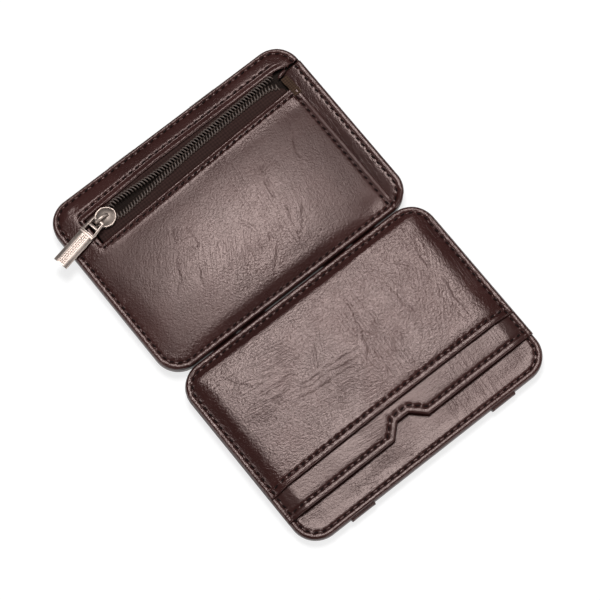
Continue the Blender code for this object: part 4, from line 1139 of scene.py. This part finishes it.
PITCH, AROUND, COIL_MIDDLE = 1.15, 12, 6.22
ROW_START, ROW_END = -3.6, 73.0
TAPE_LEFT, TAPE_RIGHT = -39.1, 39.7
for side, word in ((-1, "lower"), (1, "upper")):
    coil = []
    for i in range(int((ROW_END - ROW_START) / PITCH) * AROUND):
        u = ROW_START + i / AROUND * PITCH
        angle = 2 * math.pi * (i / AROUND + (0.5 if side > 0 else 0))
        lean = 0.20 * math.sin(angle) - 0.22 * math.cos(angle)
        v = row_offset(u, side) + side * (0.08 + 0.92 * math.cos(angle))
        coil.append((*zip_point(u + lean, v), COIL_MIDDLE + 0.36 * math.sin(angle)))
    bm = tube(coil, 0.22)
    finish_piece(bm, f"{word}_coil", "coin_panel", nylon, [f"{word}_zip_teeth"])

    bm = bmesh.new()
    bmesh.ops.create_grid(bm, x_segments=150, y_segments=8, size=1)
    for vert in bm.verts:
        s, t = (vert.co.x + 1) / 2, (vert.co.y + 1) / 2
        x = TAPE_LEFT + (TAPE_RIGHT - TAPE_LEFT) * s
        u = x - ZIP_REST[0]
        root = zip_point(u, row_offset(u, side) + side * 0.35)[1]
        sewn = lower_fold(x) - 2.6 if side < 0 else float(upper_fold(np.array(x))) + 2.4
        wave = 0.08 * noise.noise((x / 5, t * 2, side * 3.0))
        vert.co = (x, root + (sewn - root) * t, TAPE_TOP - 0.05 + wave)
    bmesh.ops.recalc_face_normals(bm, faces=bm.faces)
    if bm.faces[0].normal.z < 0:
        bmesh.ops.reverse_faces(bm, faces=bm.faces)
    stands_for = [f"{word}_zip_tape"]
    finish_piece(bm, f"{word}_tape_cloth", "coin_panel", tape_cloth, stands_for, thick=0.35)

# %% [markdown]
# ### The tape's end
#
# Past the slider's run the tape ends in a frayed tongue, which stands up a little between the
# front's corner and the gusset.

# %% Frayed end of the tape
bm = sheet(lines(40.7, (43.4, 0.27)), lines(51.4, (59.2, 0.3)))
co = points_of(bm)
co[:, 0] += 0.25 * undulate(co, 1.6, 3.3) * step(co[:, 1], 51.6, 53)
co[:, 2] = 6.75 - 0.55 * step(co[:, 1], 54.0, 57.5) + 0.12 * undulate(co, 1.2, 6.6)
move_points(bm, co)
finish_piece(bm, "tape_end_cloth", "coin_panel", end_cloth, thick=0.3)

# %% [markdown]
# ## Slider, bail and pull
#
# The slider is a cast teardrop with a domed top; a bail arches over it and carries the pull. The
# pull is one casting: an eye that hangs on the bail, a shoulder, and a bar with bevelled sides
# and a sunk band of fine ribs. The slider's plates are rings of points drawn inwards and
# upwards, the way a jeweller's plate is domed, with a post between them and a flange at each side.

# %% Slider body
RING = 44


def teardrop(inset):
    """Points of the slider's outline: a little pointed at both ends."""
    points = []
    for i in range(RING):
        angle = 2 * math.pi * i / RING
        c, s = math.cos(angle), math.sin(angle)
        reach = 3.75 if c > 0 else 4.1
        u = 0.25 + reach * math.copysign(abs(c) ** 1.12, c)
        v = 3.55 * math.copysign(abs(s) ** 1.12, s)
        length = math.hypot(u, v)
        shrink = max(0.0, (length - inset) / length)
        points.append((u * shrink, v * shrink))
    return points


def dome(bm, rings):
    """A closed plate from rings (inset, height), from below to above."""
    order = list(bmesh.ops.create_circle(bm, cap_ends=True, segments=RING, radius=1)["verts"])
    edges = [e for e in bm.edges if e.verts[0] in order and e.verts[1] in order]
    for step_up, (inset, z) in enumerate(rings):
        if step_up > 0:
            out = bmesh.ops.extrude_edge_only(bm, edges=edges)
            edges = [g for g in out["geom"] if isinstance(g, bmesh.types.BMEdge)]
            fresh = [g for g in out["geom"] if isinstance(g, bmesh.types.BMVert)]
            old = [vert.co.copy() for vert in order]
            order = sorted(fresh, key=lambda v: min(range(RING), key=lambda k: (old[k] - v.co).length))
        for vert, (u, v) in zip(order, teardrop(inset)):
            vert.co = (u, v, z)
    bmesh.ops.holes_fill(bm, edges=edges, sides=0)


def block(bm, size, middle, turn=Matrix.Identity(4)):
    """A cuboid at a place, turned about its middle: its corners."""
    verts = bmesh.ops.create_cube(bm, size=1)["verts"]
    bmesh.ops.scale(bm, vec=size, verts=verts)
    bmesh.ops.transform(bm, matrix=Matrix.Translation(middle) @ turn, verts=verts)
    return verts


bm = bmesh.new()
top_plate = [(0.25, 6.9), (0.05, 7.0), (0.0, 7.2), (0.14, 7.4), (0.38, 7.43), (0.5, 7.36), (0.85, 7.62)]
top_plate += [(1.3, 7.86), (1.9, 8.08), (2.5, 8.26), (3.0, 8.36), (3.3, 8.39)]
dome(bm, top_plate)
dome(bm, [(0.3, 4.62), (0.1, 4.7), (0.1, 5.1), (0.3, 5.18)])
block(bm, (2.2, 0.7, 2.2), (2.4, 0.25, 6.0))
for side in (-1, 1):
    block(bm, (2.8, 0.5, 0.9), (-0.5, side * 2.75, 6.6))
place = Matrix.Translation((*ZIP_REST, 0)) @ Matrix.Rotation(ZIP_TURN, 4, "Z")
bmesh.ops.recalc_face_normals(bm, faces=bm.faces)
bm.transform(place)
finish_piece(bm, "slider_body", "slider", nickel, ["zip_slider"], sharp=40)

# %% [markdown]
# ### The bail
#
# The bail is a flat wire: a round tube along an arch, widened across it.

# %% Bail
arch = [(-3.5, 7.3), (-3.6, 8.3), (-3.4, 9.1), (-2.9, 9.55), (-2.0, 9.75)]
arch += [(-0.9, 9.7), (0.1, 9.4), (0.8, 8.8), (1.2, 8.0), (1.3, 7.4)]
wire_line = []
for start, end in zip(arch, arch[1:]):
    for t in (0, 1 / 3, 2 / 3):
        u, z = np.array(start) * (1 - t) + np.array(end) * t
        wire_line.append((u, 0, z))
wire_line.append((arch[-1][0], 0, arch[-1][1]))
bm = tube(wire_line, 0.37, 2)
for vert in bm.verts:
    vert.co.y *= 1.95
bm.transform(place)
finish_piece(bm, "slider_bail", "slider", nickel)

# %% [markdown]
# ### The pull
#
# The bar is a grid over its cross-section: columns of points at the ribs' edges are raised in
# the sunk band. The eye and the shoulder are seven bevelled bars set against it.

# %% Pull
PULL_YAW = math.radians(10.6)
PULL_PITCH = math.radians(1.5)
RIBS, RIB_PITCH, FIRST_RIB = 15, 0.78, -18.95
BAND = (-1.02, -0.92, -0.48, -0.34, -0.20, 0.20, 0.34, 0.48, 0.92, 1.02)
BARS = (
    ((-5.6, 2.3), (-0.5, 1.85), 0.85, 0.85, 0, -24),
    ((-5.6, -2.3), (-0.5, -1.85), 0.85, 0.85, 0, 24),
    ((-0.55, -2.1), (-0.55, 2.1), 0.85, 0.85, 0, 0),
    ((-2.95, -2.0), (-2.95, 2.0), 1.1, 0.4, -0.15, 24),
    ((-6.72, -2.78), (-6.72, 2.78), 0.38, 1.2, 0, 0),
    ((-6.25, -2.7), (-6.25, 2.7), 0.95, 0.95, 0, 13),
    ((-5.75, -2.78), (-5.75, 2.78), 0.4, 1.2, 0, 0),
)

us = [-19.4, -19.2]
for i in range(RIBS):
    us += [FIRST_RIB + RIB_PITCH * i + part for part in (0.0, 0.18, 0.30, 0.66)]
us += [-7.25, -6.9, -6.5]
profile = [(-2.7, -0.5), (-2.7, -0.1), (-2.5, 0.1), (-1.28, 0.52), (-1.1, 0.52)]
profile += [(v, 0.30) for v in BAND] + [(-v, z) for v, z in reversed(profile)]
bm = bmesh.new()
bmesh.ops.create_grid(bm, x_segments=len(us) - 1, y_segments=len(profile) - 1, size=1)
for vert in bm.verts:
    i = round((vert.co.x + 1) / 2 * (len(us) - 1))
    v, z = profile[round((vert.co.y + 1) / 2 * (len(profile) - 1))]
    if abs(v) < 1 and abs(abs(v) - 0.34) > 0.05 and -18.9 < us[i] < -7.3 and (i - 2) % 4 > 1:
        z += 0.22
    vert.co = (us[i], v, z)
bmesh.ops.holes_fill(bm, edges=[e for e in bm.edges if e.is_boundary], sides=0)
for start, end, wide, high, z, roll_angle in BARS:
    run = Vector((end[0] - start[0], end[1] - start[1], 0))
    turn = Matrix.Rotation(math.atan2(run.y, run.x), 4, "Z")
    turn = turn @ Matrix.Rotation(math.radians(roll_angle), 4, "X")
    middle = ((start[0] + end[0]) / 2, (start[1] + end[1]) / 2, z)
    verts = block(bm, (run.length, wide, high), middle, turn)
    sides = list({e for v in verts for e in v.link_edges})
    offset = 0.12 if wide < 0.5 else 0.2
    bmesh.ops.bevel(bm, geom=sides, offset=offset, segments=2, affect="EDGES", profile=0.5, material=-1)
bmesh.ops.recalc_face_normals(bm, faces=bm.faces)
hang = Matrix.Translation((*zip_point(-2.0, 0), 8.555)) @ Matrix.Rotation(PULL_YAW, 4, "Z")
bm.transform(hang @ Matrix.Rotation(-PULL_PITCH, 4, "Y"))
finish_piece(bm, "pull_casting", "pull", bright_nickel, ["pull_tab"], sharp=35)

# %% [markdown]
# ### The end stop
#
# The stop at the zip's left end stays the solid that it is, moulded from the coil's nylon.

# %% Zip stop
dress("zip_stop", nylon)
print("end stop in", nylon.name)

# %% [markdown]
# ## Table and light
#
# The wallet lies on a white light table. One soft lamp stands where the camera's view mirrors
# off the flat leather, so that only flat surfaces shine and slopes stay dark, and a weak even
# sky fills the shadows. A panel that folds over the hinge swings below the table. So the table
# is see-through to the camera where something lies close below it, and from below, and it
# throws no shadow, while the wallet's own shadow still falls on it.

# %% Table and lamps
bm = bmesh.new()
bmesh.ops.create_grid(bm, x_segments=1, y_segments=1, size=3)
mesh = bpy.data.meshes.new("table_top")
bm.to_mesh(mesh)
bm.free()
table_top = bpy.data.objects.new("table_top", mesh)
bpy.context.scene.collection.objects.link(table_top)
table_top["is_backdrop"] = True
table_top.visible_shadow = False
paper, shader = new_material("white_paper")[:2]
mesh.materials.append(paper)
tree = paper.node_tree
wire(shader, Base_Color=(0.97, 0.97, 0.97, 1), Roughness=0.9, Specular_IOR_Level=0.0)
camera_ray, glossy_ray, through_ray = (
    add_node(tree, "ShaderNodeLightPath", output=f"Is {kind} Ray")
    for kind in ("Camera", "Glossy", "Transmission")
)
seen = camera_ray + glossy_ray + through_ray
lit = Value(shader.outputs[0])
glow = add_node(tree, "ShaderNodeEmission", None, {"Color": (1, 1, 1, 1), "Strength": 1.1})
white = add_node(tree, "ShaderNodeMixShader", None, {0: seen * 0.68, 1: lit, 2: glow})
around = {"inside": True, "samples": 40}
near_below = add_node(tree, "ShaderNodeAmbientOcclusion", around, {"Distance": 0.045}, 1)
opened = (1 - near_below) * 40 + add_node(tree, "ShaderNodeNewGeometry", output="Backfacing")
opened = opened.math("MINIMUM", opened, 1.0) * camera_ray
nothing = add_node(tree, "ShaderNodeBsdfTransparent")
surface = add_node(tree, "ShaderNodeMixShader", None, {0: opened, 1: white, 2: nothing})
plug(tree.nodes["Material Output"], {"Surface": surface})
print("table", [round(v, 1) for v in table_top.dimensions], "m")


# %% Lamps and sky
def softbox(name, direction, distance, size, power):
    """A square lamp in a direction from the wallet, turned to it."""
    light = bpy.data.lights.new(name, "AREA")
    light.shape = "RECTANGLE"
    light.size, light.size_y = size
    light.energy = power
    lamp = bpy.data.objects.new(name, light)
    way = Vector(direction).normalized()
    lamp.location = way * distance
    lamp.rotation_euler = way.to_track_quat("Z", "Y").to_euler()
    bpy.context.scene.collection.objects.link(lamp)


mirrored = Vector((0.005 + shift, 0.005, 0.0075))
way = (camera.location - mirrored).normalized()
key_place = mirrored + Vector((-way.x, -way.y, way.z)) * 0.9
softbox("key_softbox", key_place, key_place.length, (0.31, 0.31), 6.3)
for word, direction, power in (
    ("left", (-0.92, 0.10, 0.36), 3.0),
    ("front", (0.10, -0.95, 0.36), 3.0),
    ("right", (0.85, -0.30, 0.34), 2.0),
):
    softbox(f"{word}_softbox", direction, 1.1, (0.5, 0.3), power)
world = bpy.data.worlds.new("even_sky")
world.use_nodes = True
sky_strength = add_node(world.node_tree, "ShaderNodeLightPath", output="Is Camera Ray") * 0.88 + 0.12
plug(world.node_tree.nodes["Background"], {"Color": (1, 1, 1, 1), "Strength": sky_strength})
bpy.context.scene.world = world
bpy.context.scene.view_settings.view_transform = "Standard"

# %% Print the dressed sizes
low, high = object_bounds()
print("dressed", [round(v * 1000, 2) for v in high - low])
